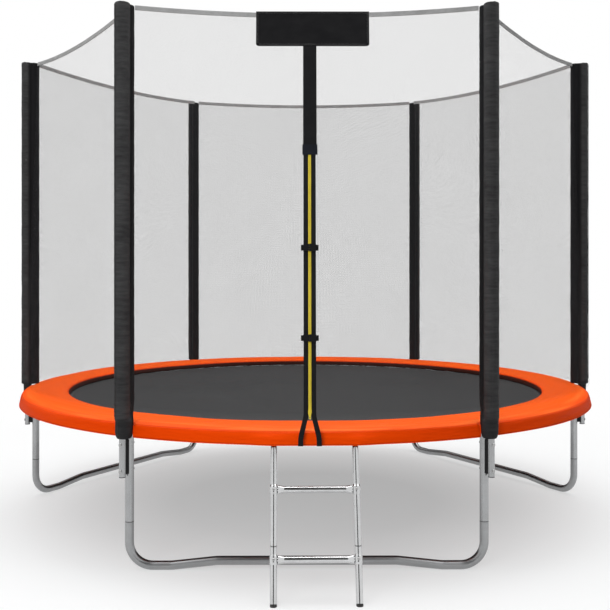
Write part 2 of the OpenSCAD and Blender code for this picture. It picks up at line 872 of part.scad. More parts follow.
// One rail with its hook over the ring
module ladder_rail(side) {
    color("silver") on_ladder() translate([side * rail_gap / 2, 0, 0]) {
        difference() {
            rotate_extrude() {
                polygon([
                    [0, rail_top],
                    [rail_r, rail_top],
                    [rail_r, rail_end],
                    [rail_r - rail_wall, rail_end],
                    [rail_r - rail_wall, rail_top + 12],
                    [0, rail_top + 12]
                ]);
                for (z = rung_zs) rail_swell(down_rail(z));
            }
            for (z = rung_zs) translate([0, 0, down_rail(z)]) {
                // Hole for the rung's end, on the inner side only
                rotate([0, -90 * side, 0]) cylinder(d = rung_end_d + 0.4, h = rail_d);
                rotate([90, 0, 0])
                    translate([0, 0, -rail_d]) cylinder(d = rung_bolt_d + 0.4, h = 2 * rail_d, $fn = 32);
            }
        }
        // Hook bent over the ring
        rotate([0, 90, 0]) translate([0, 0, -hook_w / 2]) rotate([0, 0, 180 - hook_wrap])
            rotate_extrude(angle = hook_wrap + hook_root_angle)
                translate([hook_inner_r, 0]) square([hook_outer_r - hook_inner_r, hook_w]);
    }
}

// Swelling of a rail round a rung's end
module rail_swell(at) {
    polygon([
        [rail_r - 1, at - swell_len / 2],
        [rail_r, at - swell_len / 2],
        [swell_r, at - swell_len / 2 + 9],
        [swell_r, at + swell_len / 2 - 9],
        [rail_r, at + swell_len / 2],
        [rail_r - 1, at + swell_len / 2]
    ]);
}

// Outline of a rung's flattened tube, drawn in by the given width
module rung_outline(inset) {
    spread = (rung_depth - rung_h) / 2;
    rotate([0, 0, 90]) {
        square([2 * spread, rung_h - 2 * inset], center = true);
        for (side = [-1, 1])
            translate([side * spread, 0]) circle(d = rung_h - 2 * inset, $fn = 48);
    }
}

// Outline of a rung's end, pressed flat so that it is taller than the rung
module rung_end_outline() {
    for (side = [-1, 1])
        translate([side * (rung_end_h - rung_end_d) / 2, 0]) circle(d = rung_end_d + 0.6, $fn = 32);
}

// A hollow rung with flattened ends and plugs that fit into the rails
module ladder_rung(z) {
    body = rail_gap / 2 - swell_r - rung_neck - 1;
    color("silver") on_ladder() translate([0, 0, down_rail(z)]) rotate([0, 90, 0]) difference() {
        union() {
            translate([0, 0, -body]) linear_extrude(2 * body) rung_outline(0);
            for (side = [0, 1]) mirror([0, 0, side]) {
                hull() {
                    translate([0, 0, body - 1]) linear_extrude(1) rung_outline(0);
                    translate([0, 0, body + rung_neck - 1]) linear_extrude(1) rung_end_outline();
                }
                translate([0, 0, body]) cylinder(d = rung_end_d, h = rail_gap / 2 - body + 6);
            }
        }
        translate([0, 0, -body]) linear_extrude(2 * body) rung_outline(rung_wall);
        translate([0, 0, -rail_gap]) cylinder(d = rung_end_d - 2 * rung_wall, h = 2 * rail_gap);
        for (side = [-1, 1]) translate([0, 0, side * rail_gap / 2]) rotate([90, 0, 0])
            translate([0, 0, -rail_d]) cylinder(d = rung_bolt_d + 0.4, h = 2 * rail_d, $fn = 32);
    }
}

// Rubber plugs in the rails' ends, cut flat where they stand
module ladder_feet() {
    color([0.05, 0.05, 0.05]) difference() {
        on_ladder() for (side = [-1, 1]) translate([side * rail_gap / 2, 0, rail_end]) {
            translate([0, 0, -foot_plug]) cylinder(r = rail_r - rail_wall - 0.1, h = foot_plug + 1);
            cylinder(r = rail_r, h = 30);
        }
        translate([-1000, -3000, -200]) cube([2000, 3000, 200]);
    }
}

// Bolts through the rails and the rungs' ends
module ladder_bolts() {
    color("gray") on_ladder() for (side = [-1, 1], z = rung_zs)
        translate([side * rail_gap / 2, 0, down_rail(z)]) rotate([-90, 0, 0]) {
            translate([0, 0, -swell_r - 5]) cylinder(d = rung_bolt_d, h = 2 * swell_r + 6, $fn = 32);
            translate([0, 0, swell_r + 0.1]) low_dome(6, 3);
            translate([0, 0, -swell_r - 4.6]) cylinder(d = 11, h = 4.5, $fn = 6);
        }
}

// ---------------------------------------------------------------- assembly

placed() top_rail(1);  // top_rail_1
placed() top_rail(2);  // top_rail_2
placed() top_rail(3);  // top_rail_3
placed() top_rail(4);  // top_rail_4
placed() top_rail(5);  // top_rail_5
placed() top_rail(6);  // top_rail_6
placed() leg_base(0);  // leg_base_front
placed() leg_base(120);  // leg_base_right
placed() leg_base(240);  // leg_base_left
placed() leg_post(1);  // leg_post_1
placed() leg_post(2);  // leg_post_2
placed() leg_post(3);  // leg_post_3
placed() leg_post(4);  // leg_post_4
placed() leg_post(5);  // leg_post_5
placed() leg_post(6);  // leg_post_6
placed() pole_lower(1);  // pole_lower_1
placed() pole_lower(2);  // pole_lower_2
placed() pole_lower(3);  // pole_lower_3
placed() pole_lower(4);  // pole_lower_4
placed() pole_lower(5);  // pole_lower_5
placed() pole_lower(6);  // pole_lower_6
placed() pole_upper(1);  // pole_upper_1
placed() pole_upper(2);  // pole_upper_2
placed() pole_upper(3);  // pole_upper_3
placed() pole_upper(4);  // pole_upper_4
placed() pole_upper(5);  // pole_upper_5
placed() pole_upper(6);  // pole_upper_6
placed() pole_sleeve(1);  // pole_sleeve_1
placed() pole_sleeve(2);  // pole_sleeve_2
placed() pole_sleeve(3);  // pole_sleeve_3
placed() pole_sleeve(4);  // pole_sleeve_4
placed() pole_sleeve(5);  // pole_sleeve_5
placed() pole_sleeve(6);  // pole_sleeve_6
placed() pole_foam();
placed() pole_spacers();
placed() pole_fasteners();
placed() pole_caps();
placed() jump_mat();
placed() mat_links();
placed() springs();
placed() safety_pad();
placed() net_panel(1);  // net_panel_1
placed() net_panel(2);  // net_panel_2
placed() net_panel(3);  // net_panel_3
placed() net_panel(4);  // net_panel_4
placed() net_door();
placed() net_panel(6);  // net_panel_6
placed() door_panel();
placed() door_flap();
placed() zip_tapes();
placed() zip_slider();
placed() buckle_catches();
placed() buckle_tongue(buckle_zs[0]);  // buckle_tongue_lower
placed() buckle_tongue(buckle_zs[1]);  // buckle_tongue_upper
placed() ladder_rail(-1);  // ladder_rail_left
placed() ladder_rail(1);  // ladder_rail_right
placed() ladder_rung(rung_zs[0]);  // ladder_rung_lower
placed() ladder_rung(rung_zs[1]);  // ladder_rung_upper
placed() ladder_feet();
placed() ladder_bolts();
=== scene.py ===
"""Garden trampoline: looks of the six-pole frame, padded rim, sprung mat, net, door and ladder.

Metres, +Z up. The ring stands at (0, FOOTPRINT_Y), the door and the ladder face -Y, and poles
are numbered anticlockwise from the +X side.
"""
import json
import math

import bmesh
import bpy
import numpy as np
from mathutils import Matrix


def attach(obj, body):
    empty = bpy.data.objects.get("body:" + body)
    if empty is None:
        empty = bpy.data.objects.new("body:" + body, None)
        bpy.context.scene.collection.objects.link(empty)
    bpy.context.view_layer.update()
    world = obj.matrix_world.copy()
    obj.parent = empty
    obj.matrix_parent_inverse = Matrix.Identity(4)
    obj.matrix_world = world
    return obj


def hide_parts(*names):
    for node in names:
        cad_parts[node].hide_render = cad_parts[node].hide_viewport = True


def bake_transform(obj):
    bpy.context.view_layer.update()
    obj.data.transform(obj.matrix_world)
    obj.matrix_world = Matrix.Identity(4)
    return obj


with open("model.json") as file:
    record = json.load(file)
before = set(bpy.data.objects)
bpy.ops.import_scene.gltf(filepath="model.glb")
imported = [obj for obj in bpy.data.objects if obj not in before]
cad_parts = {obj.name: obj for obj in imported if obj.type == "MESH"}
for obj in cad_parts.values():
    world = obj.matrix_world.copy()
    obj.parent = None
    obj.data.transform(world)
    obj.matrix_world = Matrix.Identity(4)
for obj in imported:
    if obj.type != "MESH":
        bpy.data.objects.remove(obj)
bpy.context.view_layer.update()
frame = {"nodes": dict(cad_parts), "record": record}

# ---------------------------------------------------------------- sizes

# Lengths in metres. The ring's axis stands at y = FOOTPRINT_Y, and its angles are in degrees.
FOOTPRINT_Y = 0.102791
RING_R = 1.506
POLE_R = 1.552
PAD_R = 1.537
PAD_TOP = 0.637
POST_FOOT_Z = 0.206
SKIRT_Z = 0.569
MAT_R = 1.300
MAT_Z = 0.590
SPRINGS = 54
POLE_TOPS = {1: 2.420, 2: 2.416, 3: 2.416, 4: 2.420, 5: 2.396, 6: 2.396}
NET_TOPS = {1: 2.419, 2: 2.421, 3: 2.421, 4: 2.419, 5: 2.396, 6: 2.396}
NET_SAGS = {1: 0.030, 2: 0.026, 3: 0.030, 4: 0.034, 5: 0.034, 6: 0.034}
NET_FOOT_Z = 0.570
SLEEVE_R = 0.0330
LOBE_R = 0.024
LOBE_X = -0.0415
SLEEVE_TAIL = 0.563
PANEL_X = 0.014
PANEL_Z = 2.294
PANEL_SIZE = (0.480, 0.154)
FLAP_FOOT_Z = 1.752
DOOR_X = 0.010
DOOR_TILT = math.radians(8.159)
DOOR_TOP = (-1.29765, 2.358)
ZIP_FOOT = 0.690
ZIP_HEAD = 1.765
LADDER_TURN = math.radians(1.1)
SPRING_Z = 0.594
NOTCH_R = 0.044
RADIAN = 57.3  # in degrees

# ---------------------------------------------------------------- surfaces


def polar(radius, degrees, height):
    """Points on circles round the ring's axis."""
    a = np.radians(degrees)
    parts = radius * np.cos(a), radius * np.sin(a) + FOOTPRINT_Y, height
    return np.stack(np.broadcast_arrays(*parts), -1).astype(float)


def turned(degrees, x, y, z):
    """Points given along an angle round the ring's axis: x outwards, y anticlockwise, z up."""
    a = math.radians(degrees)
    parts = x * math.cos(a) - y * math.sin(a), x * math.sin(a) + y * math.cos(a) + FOOTPRINT_Y, z
    return np.stack(np.broadcast_arrays(*parts), -1).astype(float)


def at_pole(number, x, y, z):
    """Points given beside a pole, along the pole's own angle."""
    return turned(60 * (number - 1), x, y, z)


def on_door(x, up, out):
    """Points in the sloping plane of the door: x to the right of the zip, up the slope from a
    height, and out of the plane."""
    base = DOOR_TOP[0] - (DOOR_TOP[1] - ZIP_FOOT) * math.tan(DOOR_TILT)
    s, c = math.sin(DOOR_TILT), math.cos(DOOR_TILT)
    parts = x + DOOR_X, base + up * s - out * c + FOOTPRINT_Y, ZIP_FOOT + up * c + out * s
    return np.stack(np.broadcast_arrays(*parts), -1).astype(float)


def up_slope(z):
    """Distance up the door's slope for a height."""
    return (z - ZIP_FOOT) / math.cos(DOOR_TILT)


def waves(seed, u, v, u_range, v_range, terms=14, whole=False):
    """Sum of sine waves with seeded directions and phases: an uneven surface between -1 and 1.
    With whole=True the waves fit a whole number of times round u from 0 to 1."""
    dice = np.random.default_rng(seed)
    total = 0
    for _ in range(terms):
        fu, fv, phase = dice.uniform(*u_range), dice.uniform(*v_range), dice.uniform(0, 2 * np.pi)
        if whole:
            fu = round(fu)
        total = total + np.sin(2 * np.pi * (fu * u + fv * v) + phase)
    return total / terms ** 0.5 * 0.7


def step(low, high, x):
    """Smooth step from 0 at low to 1 at high."""
    t = np.clip((x - low) / (high - low), 0, 1)
    return t * t * (3 - 2 * t)


class Surface:
    """Grids of points gathered into one mesh, with a UV map in metres."""

    def __init__(self):
        self.points, self.faces, self.uvs, self.count = [], [], [], 0

    def grid(self, points, u=None, v=None, wrap_u=False, wrap_v=False):
        """Adds a grid of points, closed on itself along u or v when it wraps."""
        n, m = points.shape[:2]
        i, j = np.meshgrid(np.arange(n - 1 + wrap_u), np.arange(m - 1 + wrap_v), indexing="ij")
        i, j = i.ravel(), j.ravel()
        ci, cj = np.stack([i, i + 1, i + 1, i], -1), np.stack([j, j, j + 1, j + 1], -1)
        u = np.arange(n + 1) * 0.01 if u is None else u
        v = np.arange(m + 1) * 0.01 if v is None else v
        self.faces.append((ci % n) * m + cj % m + self.count)
        self.uvs.append(np.stack([u[ci], v[cj]], -1).reshape(-1, 2))
        self.points.append(points.reshape(-1, 3))
        self.count += n * m

    def build(self, name, material, closed=True, sharp=40):
        """Makes the object, with coincident points merged and closed shells facing outwards."""
        points, faces = np.concatenate(self.points), np.concatenate(self.faces)
        mesh = bpy.data.meshes.new(name)
        mesh.vertices.add(len(points))
        mesh.vertices.foreach_set("co", points.ravel())
        mesh.loops.add(faces.size)
        mesh.loops.foreach_set("vertex_index", faces.ravel())
        mesh.polygons.add(len(faces))
        mesh.polygons.foreach_set("loop_start", np.arange(0, faces.size, 4))
        mesh.uv_layers.new(name="UVMap").data.foreach_set("uv", np.concatenate(self.uvs).ravel())
        mesh.materials.append(material)
        mesh.update(calc_edges=True)
        shell = bmesh.new()
        shell.from_mesh(mesh)
        bmesh.ops.remove_doubles(shell, verts=shell.verts, dist=2e-6)
        if closed:
            bmesh.ops.recalc_face_normals(shell, faces=shell.faces)
        shell.to_mesh(mesh)
        shell.free()
        mesh.polygons.foreach_set("use_smooth", np.ones(len(mesh.polygons), bool))
        mesh.set_sharp_from_angle(angle=math.radians(sharp))
        made = bpy.data.objects.new(name, mesh)
        bpy.context.scene.collection.objects.link(made)
        return made


def band(path, side, normal, width, thickness):
    """A flat strap along a path: its section is a rounded rectangle across the side and normal
    directions."""
    t = np.array([-1, -1, -0.9, -0.45, 0, 0.45, 0.9, 1, 1, 0.9, 0.45, 0, -0.45, -0.9])
    h = np.array([0.3, 0.7, 1, 1, 1, 1, 1, 0.7, 0.3, 0, 0, 0, 0, 0])
    width = np.asarray(width, float).reshape(-1, 1, 1)
    rows = path[:, None] + side[:, None] * (t * 0.5)[None, :, None] * width
    return rows + normal[:, None] * (h * thickness)[None, :, None]


def capped(section_rows):
    """Closes both ends of a swept section by drawing them together at their middle."""
    first, last = section_rows[:1].mean(1, keepdims=True), section_rows[-1:].mean(1, keepdims=True)
    n = section_rows.shape[1]
    return np.concatenate([np.repeat(first, n, 1), section_rows, np.repeat(last, n, 1)])


def lengths(path):
    """Distance along a path at each of its points."""
    return np.concatenate([[0], np.cumsum(np.linalg.norm(np.diff(path, axis=0), axis=1))])


def strap(name, path, section_rows, pitch, finish):
    """A strap from its swept section, closed at both ends, with UVs along and across it."""
    made = Surface()
    along = np.concatenate([[0], lengths(path), [0]])
    made.grid(capped(section_rows), along, np.arange(15) * pitch, wrap_v=True)
    return made.build(name, finish)


# ---------------------------------------------------------------- finishes


class Value:
    """A shader value on which Python arithmetic adds Math nodes."""

    def __init__(self, paint, out):
        self.paint, self.out = paint, out

    def math(self, operation, *inputs):
        return self.paint.node("ShaderNodeMath", {"operation": operation}, inputs)

    def __add__(self, other): return self.math("ADD", self, other)
    def __radd__(self, other): return self.math("ADD", other, self)
    def __sub__(self, other): return self.math("SUBTRACT", self, other)
    def __mul__(self, other): return self.math("MULTIPLY", self, other)
    def __truediv__(self, other): return self.math("DIVIDE", self, other)
    def __pow__(self, other): return self.math("POWER", self, other)
    def sin(self): return self.math("SINE", self)
    def abs(self): return self.math("ABSOLUTE", self)
    def fract(self): return self.math("FRACT", self)
    def max(self, other): return self.math("MAXIMUM", self, other)
    def min(self, other): return self.math("MINIMUM", self, other)

    def span(self, low, high, to_low=0.0, to_high=1.0):
        """Rescales low..high to a new span, with both ends held."""
        return self.paint.node("ShaderNodeMapRange", {"clamp": True},
                               [self, low, high, to_low, to_high])


class Paint:
    """A material, or a world, under construction."""

    def __init__(self, name, world=False):
        self.owner = (bpy.data.worlds if world else bpy.data.materials).new(name)
        self.owner.use_nodes = True
        self.tree = self.owner.node_tree
        self.tree.nodes.clear()

    def node(self, kind, settings=None, inputs=(), out=0):
        made = self.tree.nodes.new(kind)
        for key, value in (settings or {}).items():
            setattr(made, key, value)
        for key, value in (inputs.items() if isinstance(inputs, dict) else enumerate(inputs)):
            if isinstance(value, Value):
                self.tree.links.new(value.out, made.inputs[key])
            elif hasattr(value, "__len__") and len(made.inputs[key].default_value) > len(value):
                made.inputs[key].default_value = (*value, 1)
            else:
                made.inputs[key].default_value = value
        return Value(self, made.outputs[out])

    def place(self, scale=(1, 1, 1), uv=False):
        """Position on the object, or on its UV map, in metres times a scale."""
        where = self.node("ShaderNodeTexCoord", out="UV" if uv else "Object")
        return self.node("ShaderNodeMapping", {}, {"Vector": where, "Scale": scale})

    def parts(self, vector):
        """The three numbers of a vector."""
        split = self.node("ShaderNodeSeparateXYZ", {}, [vector])
        return [Value(self, o) for o in split.out.node.outputs]

    def noise(self, vector, scale, detail=2.0, rough=0.5):
        return self.node("ShaderNodeTexNoise", {},
                         {"Vector": vector, "Scale": scale, "Detail": detail, "Roughness": rough})

    def cells(self, vector, scale):
        """A random colour for each cell."""
        return self.node("ShaderNodeTexVoronoi", {"feature": "F1"},
                         {"Vector": vector, "Scale": scale}, "Color")

    def mix(self, factor, a, b):
        """Colour between a and b."""
        return self.node("ShaderNodeMix", {"data_type": "RGBA"}, {0: factor, 6: a, 7: b}, 2)

    def weave(self, pitch):
        """Threads over and under each other, from the UV map."""
        u, v, _ = self.parts(self.place(uv=True))
        return (u * (2 * np.pi / pitch)).sin() * (v * (2 * np.pi / pitch)).sin()

    def bump(self, height, distance, strength):
        return self.node("ShaderNodeBump", {},
                         {"Height": height, "Distance": distance, "Strength": strength})

    def surface(self, **inputs):
        """Ends the material with a Principled shader."""
        names = {key.replace("_", " "): value for key, value in inputs.items()}
        return self.end(self.node("ShaderNodeBsdfPrincipled", {}, names))

    def end(self, shader, kind="ShaderNodeOutputMaterial"):
        self.tree.links.new(shader.out, self.tree.nodes.new(kind).inputs["Surface"])
        return self.owner


def steel(name, colour, roughness, drawn=(60, 60, 1.5)):
    """Zinc-coated tube: faint spangle and drawing streaks, and duller patches. A
    dark line fills the joint between the leg posts and their bases."""
    p = Paint(name)
    streaks = p.noise(p.place(drawn), 1.0, 3, 0.6)
    grain = p.parts(p.cells(p.place(), 55))[0]
    dull = p.noise(p.place(), 5.0, 3, 0.6).span(0.45, 0.75)
    tone = streaks.span(0.25, 0.75, 0.94, 1.04) * grain.span(0, 1, 0.98, 1.02)
    grey = p.mix(dull, colour, tuple(0.9 * c for c in colour))
    tone = p.node("ShaderNodeCombineColor", {}, [tone, tone, tone])
    shade = p.node("ShaderNodeMix", {"data_type": "RGBA", "blend_type": "MULTIPLY"},
                   {0: 1.0, 6: grey, 7: tone}, 2)
    joint = (p.parts(p.place())[2] - POST_FOOT_Z).abs().span(0.0012, 0.0030, 1, 0)
    shade = p.mix(joint * 0.75, shade, (0.05, 0.05, 0.05))
    rough = roughness + dull * 0.05 + streaks.span(0.3, 0.7, -0.015, 0.015)
    height = p.noise(p.place(), 500, 2)
    return p.surface(Base_Color=shade, Metallic=1.0, Roughness=rough,
                     Normal=p.bump(height, 0.0001, 0.03))


def plastic(name, colour, roughness=0.45, gloss=0.5):
    """Moulded plastic with a fine matt grain and scuffs."""
    p = Paint(name)
    grain = p.noise(p.place(), 900, 2)
    scuffs = p.noise(p.place((1, 1, 6)), 60, 5, 0.7).span(0.58, 0.72)
    tint = p.mix(scuffs, colour, tuple(c * 1.8 + 0.01 for c in colour))
    return p.surface(Base_Color=tint, Roughness=scuffs * 0.15 + roughness, Specular_IOR_Level=gloss,
                     Normal=p.bump(grain, 0.0002, 0.4))


def cloth(name, dark, light, roughness, puckers, pucker_scale, gloss, backing=None):
    """Coated plain-weave cloth: fine over-and-under weave, soft mottling and small puckers. With
    a second, darker colour, that colour is woven in where the surface's attribute of the same
    name is 1: partly a darker cloth and partly painted shade."""
    p = Paint(name)
    folds = p.noise(p.place(pucker_scale), 1.0, 4, 0.62)
    cloudy = p.noise(p.place(), 9.0, 4, 0.6)
    tint = p.mix(cloudy.span(0.3, 0.7) * 0.5 + folds.span(0.3, 0.7, 0, 0.6), dark, light)
    if backing:
        share = p.node("ShaderNodeAttribute", {"attribute_name": "backing"}, out="Fac")
        tint = p.mix(share, tint, backing)
    height = folds * (puckers / 0.0004) + p.weave(0.0016) * 0.18
    rough = cloudy.span(0.3, 0.7, roughness - 0.07, roughness + 0.07)
    return p.surface(Base_Color=tint, Roughness=rough, Specular_IOR_Level=gloss,
                     Normal=p.bump(height, 0.0004, 0.8))


def pad_cloth(name):
    """Orange coated cloth: fine weave, creases that run round the rim, a top painted paler as if
    lit from above, a painted highlight on the creases along its edge, a reddish seam where the
    skirt is sewn on and painted shade on the inner face."""
    p = Paint(name)
    u, v, _ = p.parts(p.place(uv=True))
    z = p.parts(p.place())[2]
    creases = p.noise(p.place((1.6, 38, 1), uv=True), 1.0, 5, 0.62)
    broad = p.noise(p.place((1.2, 9, 1), uv=True), 1.0, 3, 0.55)
    outer = v.span(0.20, 0.21)

    def line(height, core, edge):
        """A line round the outside at a height, solid in its core and gone at its edge."""
        return (z - height).abs().span(core, edge, 1, 0) * outer

    seam = line(0.6215, 0.0008, 0.0024)
    stitches = line(0.6165, 0.0005, 0.0012) * (u * 160).fract().span(0.55, 0.7, 1, 0)
    hem = line(SKIRT_Z + 0.004, 0.0010, 0.0030)
    tint = p.mix(creases.span(0.3, 0.7) * 0.55 + broad.span(0.3, 0.7) * 0.45,
                 (0.90, 0.056, 0.000), (1.0, 0.080, 0.001))
    # Painted light: the top is painted paler than the skirt, as if lit from above.
    top = z.span(0.622, 0.631)
    tint = p.mix(top * 0.8, tint, (1.0, 0.122, 0.005))
    tint = p.mix(seam * 0.3 + stitches * 0.35 + hem * 0.6, tint, (0.46, 0.035, 0.004))
    # Painted highlight: a paler line on the creases just below the top's outer edge.
    painted_rim_highlight = line(0.6290, 0.002, 0.0075) * creases.span(0.45, 0.62)
    tint = p.mix(painted_rim_highlight * 0.7, tint, (1.0, 0.21, 0.035))
    # Painted shade: the lip and inner face over the mat's edge are painted nearly black.
    inner = v.span(0.040, 0.048, 1, 0)
    tint = p.mix(inner * 0.97, tint, (0.022, 0.006, 0.003))
    height = creases * 2.4 + broad * 3.0 + p.weave(0.0022) * 0.12 - (stitches + hem + seam) * 0.8
    return p.surface(Base_Color=tint, Roughness=creases.span(0.3, 0.7, 0.50, 0.62),
                     Specular_IOR_Level=0.06, Normal=p.bump(height, 0.0006, 0.9))


def mat_cloth():
    """Black woven bed cloth with rows of stitching near its doubled edge."""
    p = Paint("mat_weave")
    x, y, _ = p.parts(p.place())
    ribs = (x * (2 * np.pi / 0.0034)).sin() * (y * (2 * np.pi / 0.0034)).sin()
    radius = (x * x + (y - FOOTPRINT_Y) * (y - FOOTPRINT_Y)) ** 0.5
    inner_row, outer_row = (radius - 1.272).abs(), (radius - 1.286).abs()
    row = inner_row.min(outer_row).span(0.0006, 0.0018, 1, 0)
    worn = p.noise(p.place(), 1.8, 5, 0.6)
    fine = p.noise(p.place(), 60, 3, 0.6)
    tint = p.mix(worn.span(0.3, 0.7) * 0.6 + fine * 0.3,
                 (0.033, 0.033, 0.034), (0.052, 0.052, 0.053))
    tint = p.mix(row * 0.5, tint, (0.20, 0.20, 0.20))
    return p.surface(Base_Color=tint, Roughness=worn.span(0.3, 0.7, 0.6, 0.72),
                     Specular_IOR_Level=0.12, Normal=p.bump(ribs + fine * 0.6, 0.0005, 0.7))


def net_cloth(name, foot):
    """Fine knitted mesh: crossing threads round small open squares, cut off at its foot."""
    p = Paint(name)
    u, v, _ = p.parts(p.place(uv=True))
    z = p.parts(p.place())[2]
    across, along = [((x / 0.0030).fract() - 0.5).abs().span(0.424, 0.461) for x in (u, v)]
    slack = p.noise(p.place((2.0, 1.1, 1), uv=True), 1.0, 4, 0.6)
    cover = (across.max(along) * slack.span(0.3, 0.7, 0.88, 0.98) + 0.012) * z.span(*foot)
    tint = p.mix(slack.span(0.3, 0.7), (0.030, 0.030, 0.031), (0.048, 0.048, 0.049))
    return p.surface(Base_Color=tint, Roughness=0.85, Specular_IOR_Level=0.1, Alpha=cover)


def tape_cloth(name, dark, light, ribs=0.0012):
    """Woven tape: ribs across it and a flecked, uneven tone."""
    p = Paint(name)
    v = p.parts(p.place(uv=True))[1]
    rib = (v * (2 * np.pi / ribs)).sin()
    fleck = p.noise(p.place(), 300, 3, 0.6)
    broad = p.noise(p.place(), 22, 3, 0.6)
    tint = p.mix(fleck.span(0.3, 0.7) * 0.5 + broad.span(0.3, 0.7) * 0.5, dark, light)
    return p.surface(Base_Color=tint, Roughness=fleck.span(0.3, 0.7, 0.6, 0.8),
                     Specular_IOR_Level=0.15, Normal=p.bump(rib + fleck * 0.6, 0.0003, 0.7))


def rubber(name):
    """Black rubber with ground-in dust near its foot."""
    p = Paint(name)
    _, _, z = p.parts(p.place())
    dust = p.noise(p.place(), 90, 4, 0.7).span(0.5, 0.75) * z.span(0.0, 0.03, 1, 0.2)
    tint = p.mix(dust, (0.014, 0.014, 0.014), (0.11, 0.105, 0.10))
    return p.surface(Base_Color=tint, Roughness=dust * 0.2 + 0.55,
                     Normal=p.bump(p.noise(p.place(), 700, 2), 0.0002, 0.5))


TUBE = steel("zinc_tube", (0.38, 0.385, 0.39), 0.23)
BASE_TUBE = steel("zinc_base_tube", (0.35, 0.355, 0.36), 0.31, (3, 3, 60))
LADDER = steel("zinc_ladder", (0.62, 0.625, 0.63), 0.17)
WIRE = steel("spring_wire", (0.48, 0.485, 0.49), 0.30, (90, 90, 90))
BOLTS = steel("zinc_bolt", (0.42, 0.42, 0.42), 0.34, (40, 40, 40))
SLIDER_COAT = plastic("slider_yellow_coat", (0.86, 0.67, 0.06), 0.4)
BLACK = plastic("black_moulding", (0.010, 0.010, 0.011), gloss=0.15)
RUBBER = rubber("foot_rubber")
# The sleeve's darker colour on the net's side is partly a darker cloth and partly painted shade.
SLEEVE = cloth("sleeve_cloth_dark", (0.026, 0.026, 0.027), (0.074, 0.074, 0.075), roughness=0.62,
               puckers=0.0020, pucker_scale=(14, 14, 85), gloss=0.10, backing=(0.010, 0.010, 0.011))
FOAM = plastic("grey_foam", (0.10, 0.10, 0.105), 0.9)
PAD = pad_cloth("pad_cloth_orange")
MAT = mat_cloth()
NET = net_cloth("net_mesh_cloth", (0.616, 0.624))
FRONT_NET = net_cloth("front_net_cloth", (0.675, 0.700))
HEM = tape_cloth("net_hem_grey", (0.38, 0.38, 0.38), (0.56, 0.56, 0.56))
TAPE = tape_cloth("black_tape", (0.006, 0.006, 0.007), (0.014, 0.014, 0.015))
LOOP = tape_cloth("navy_tape", (0.008, 0.009, 0.013), (0.016, 0.018, 0.026))
PANEL = cloth("panel_cloth_black", (0.006, 0.006, 0.007), (0.014, 0.014, 0.015), roughness=0.60,
              puckers=0.0007, pucker_scale=(9, 9, 22), gloss=0.12)
ZIP_YELLOW = tape_cloth("zip_tape_yellow", (0.82, 0.63, 0.05), (0.98, 0.80, 0.10), 0.0022)
THREAD = tape_cloth("grey_thread", (0.20, 0.20, 0.20), (0.32, 0.32, 0.32), 0.0006)

FINISH_OF_SLOT = {
    "galvanised_steel": TUBE, "spring_steel": WIRE, "zinc_bolts": BOLTS, "zip_metal": SLIDER_COAT,
    "black_plastic": BLACK, "black_rubber": RUBBER,
}
for part in frame["record"]["subparts"]:
    if part["material_slot"] in FINISH_OF_SLOT:
        finish = FINISH_OF_SLOT[part["material_slot"]]
        if part["node"].startswith("leg_base"):
            finish = BASE_TUBE
        if part["node"].startswith("ladder_r"):
            finish = LADDER
        mesh = frame["nodes"][part["node"]].data
        mesh.materials.clear()
        mesh.materials.append(finish)

# ---------------------------------------------------------------- net poles


def sleeve_outline():
    """Section of a sleeve, anticlockwise: a round over the foam and a smaller round channel on
    the net's side, with a soft crease where they meet. Gives x, y, the centre that each point
    belongs to, and the distance round the outline."""
    crease = math.acos((LOBE_X ** 2 + SLEEVE_R ** 2 - LOBE_R ** 2) / (2 * -LOBE_X * SLEEVE_R))
    lobe_cut = math.asin(SLEEVE_R * math.sin(crease) / LOBE_R)
    a = np.linspace(-np.pi + crease, np.pi - crease, 61)[:-1]
    b = np.linspace(lobe_cut, 2 * np.pi - lobe_cut, 41)[:-1]
    x = np.concatenate([SLEEVE_R * np.cos(a), LOBE_X + LOBE_R * np.cos(b)])
    y = np.concatenate([SLEEVE_R * np.sin(a), LOBE_R * np.sin(b)])
    centre = np.concatenate([np.zeros(60), np.full(40, LOBE_X)])
    for _ in range(2):
        x = (np.roll(x, 1) + 2 * x + np.roll(x, -1)) / 4
        y = (np.roll(y, 1) + 2 * y + np.roll(y, -1)) / 4
    around = lengths(np.stack([np.append(x, x[0]), np.append(y, y[0])], -1))
    return x, y, centre, around


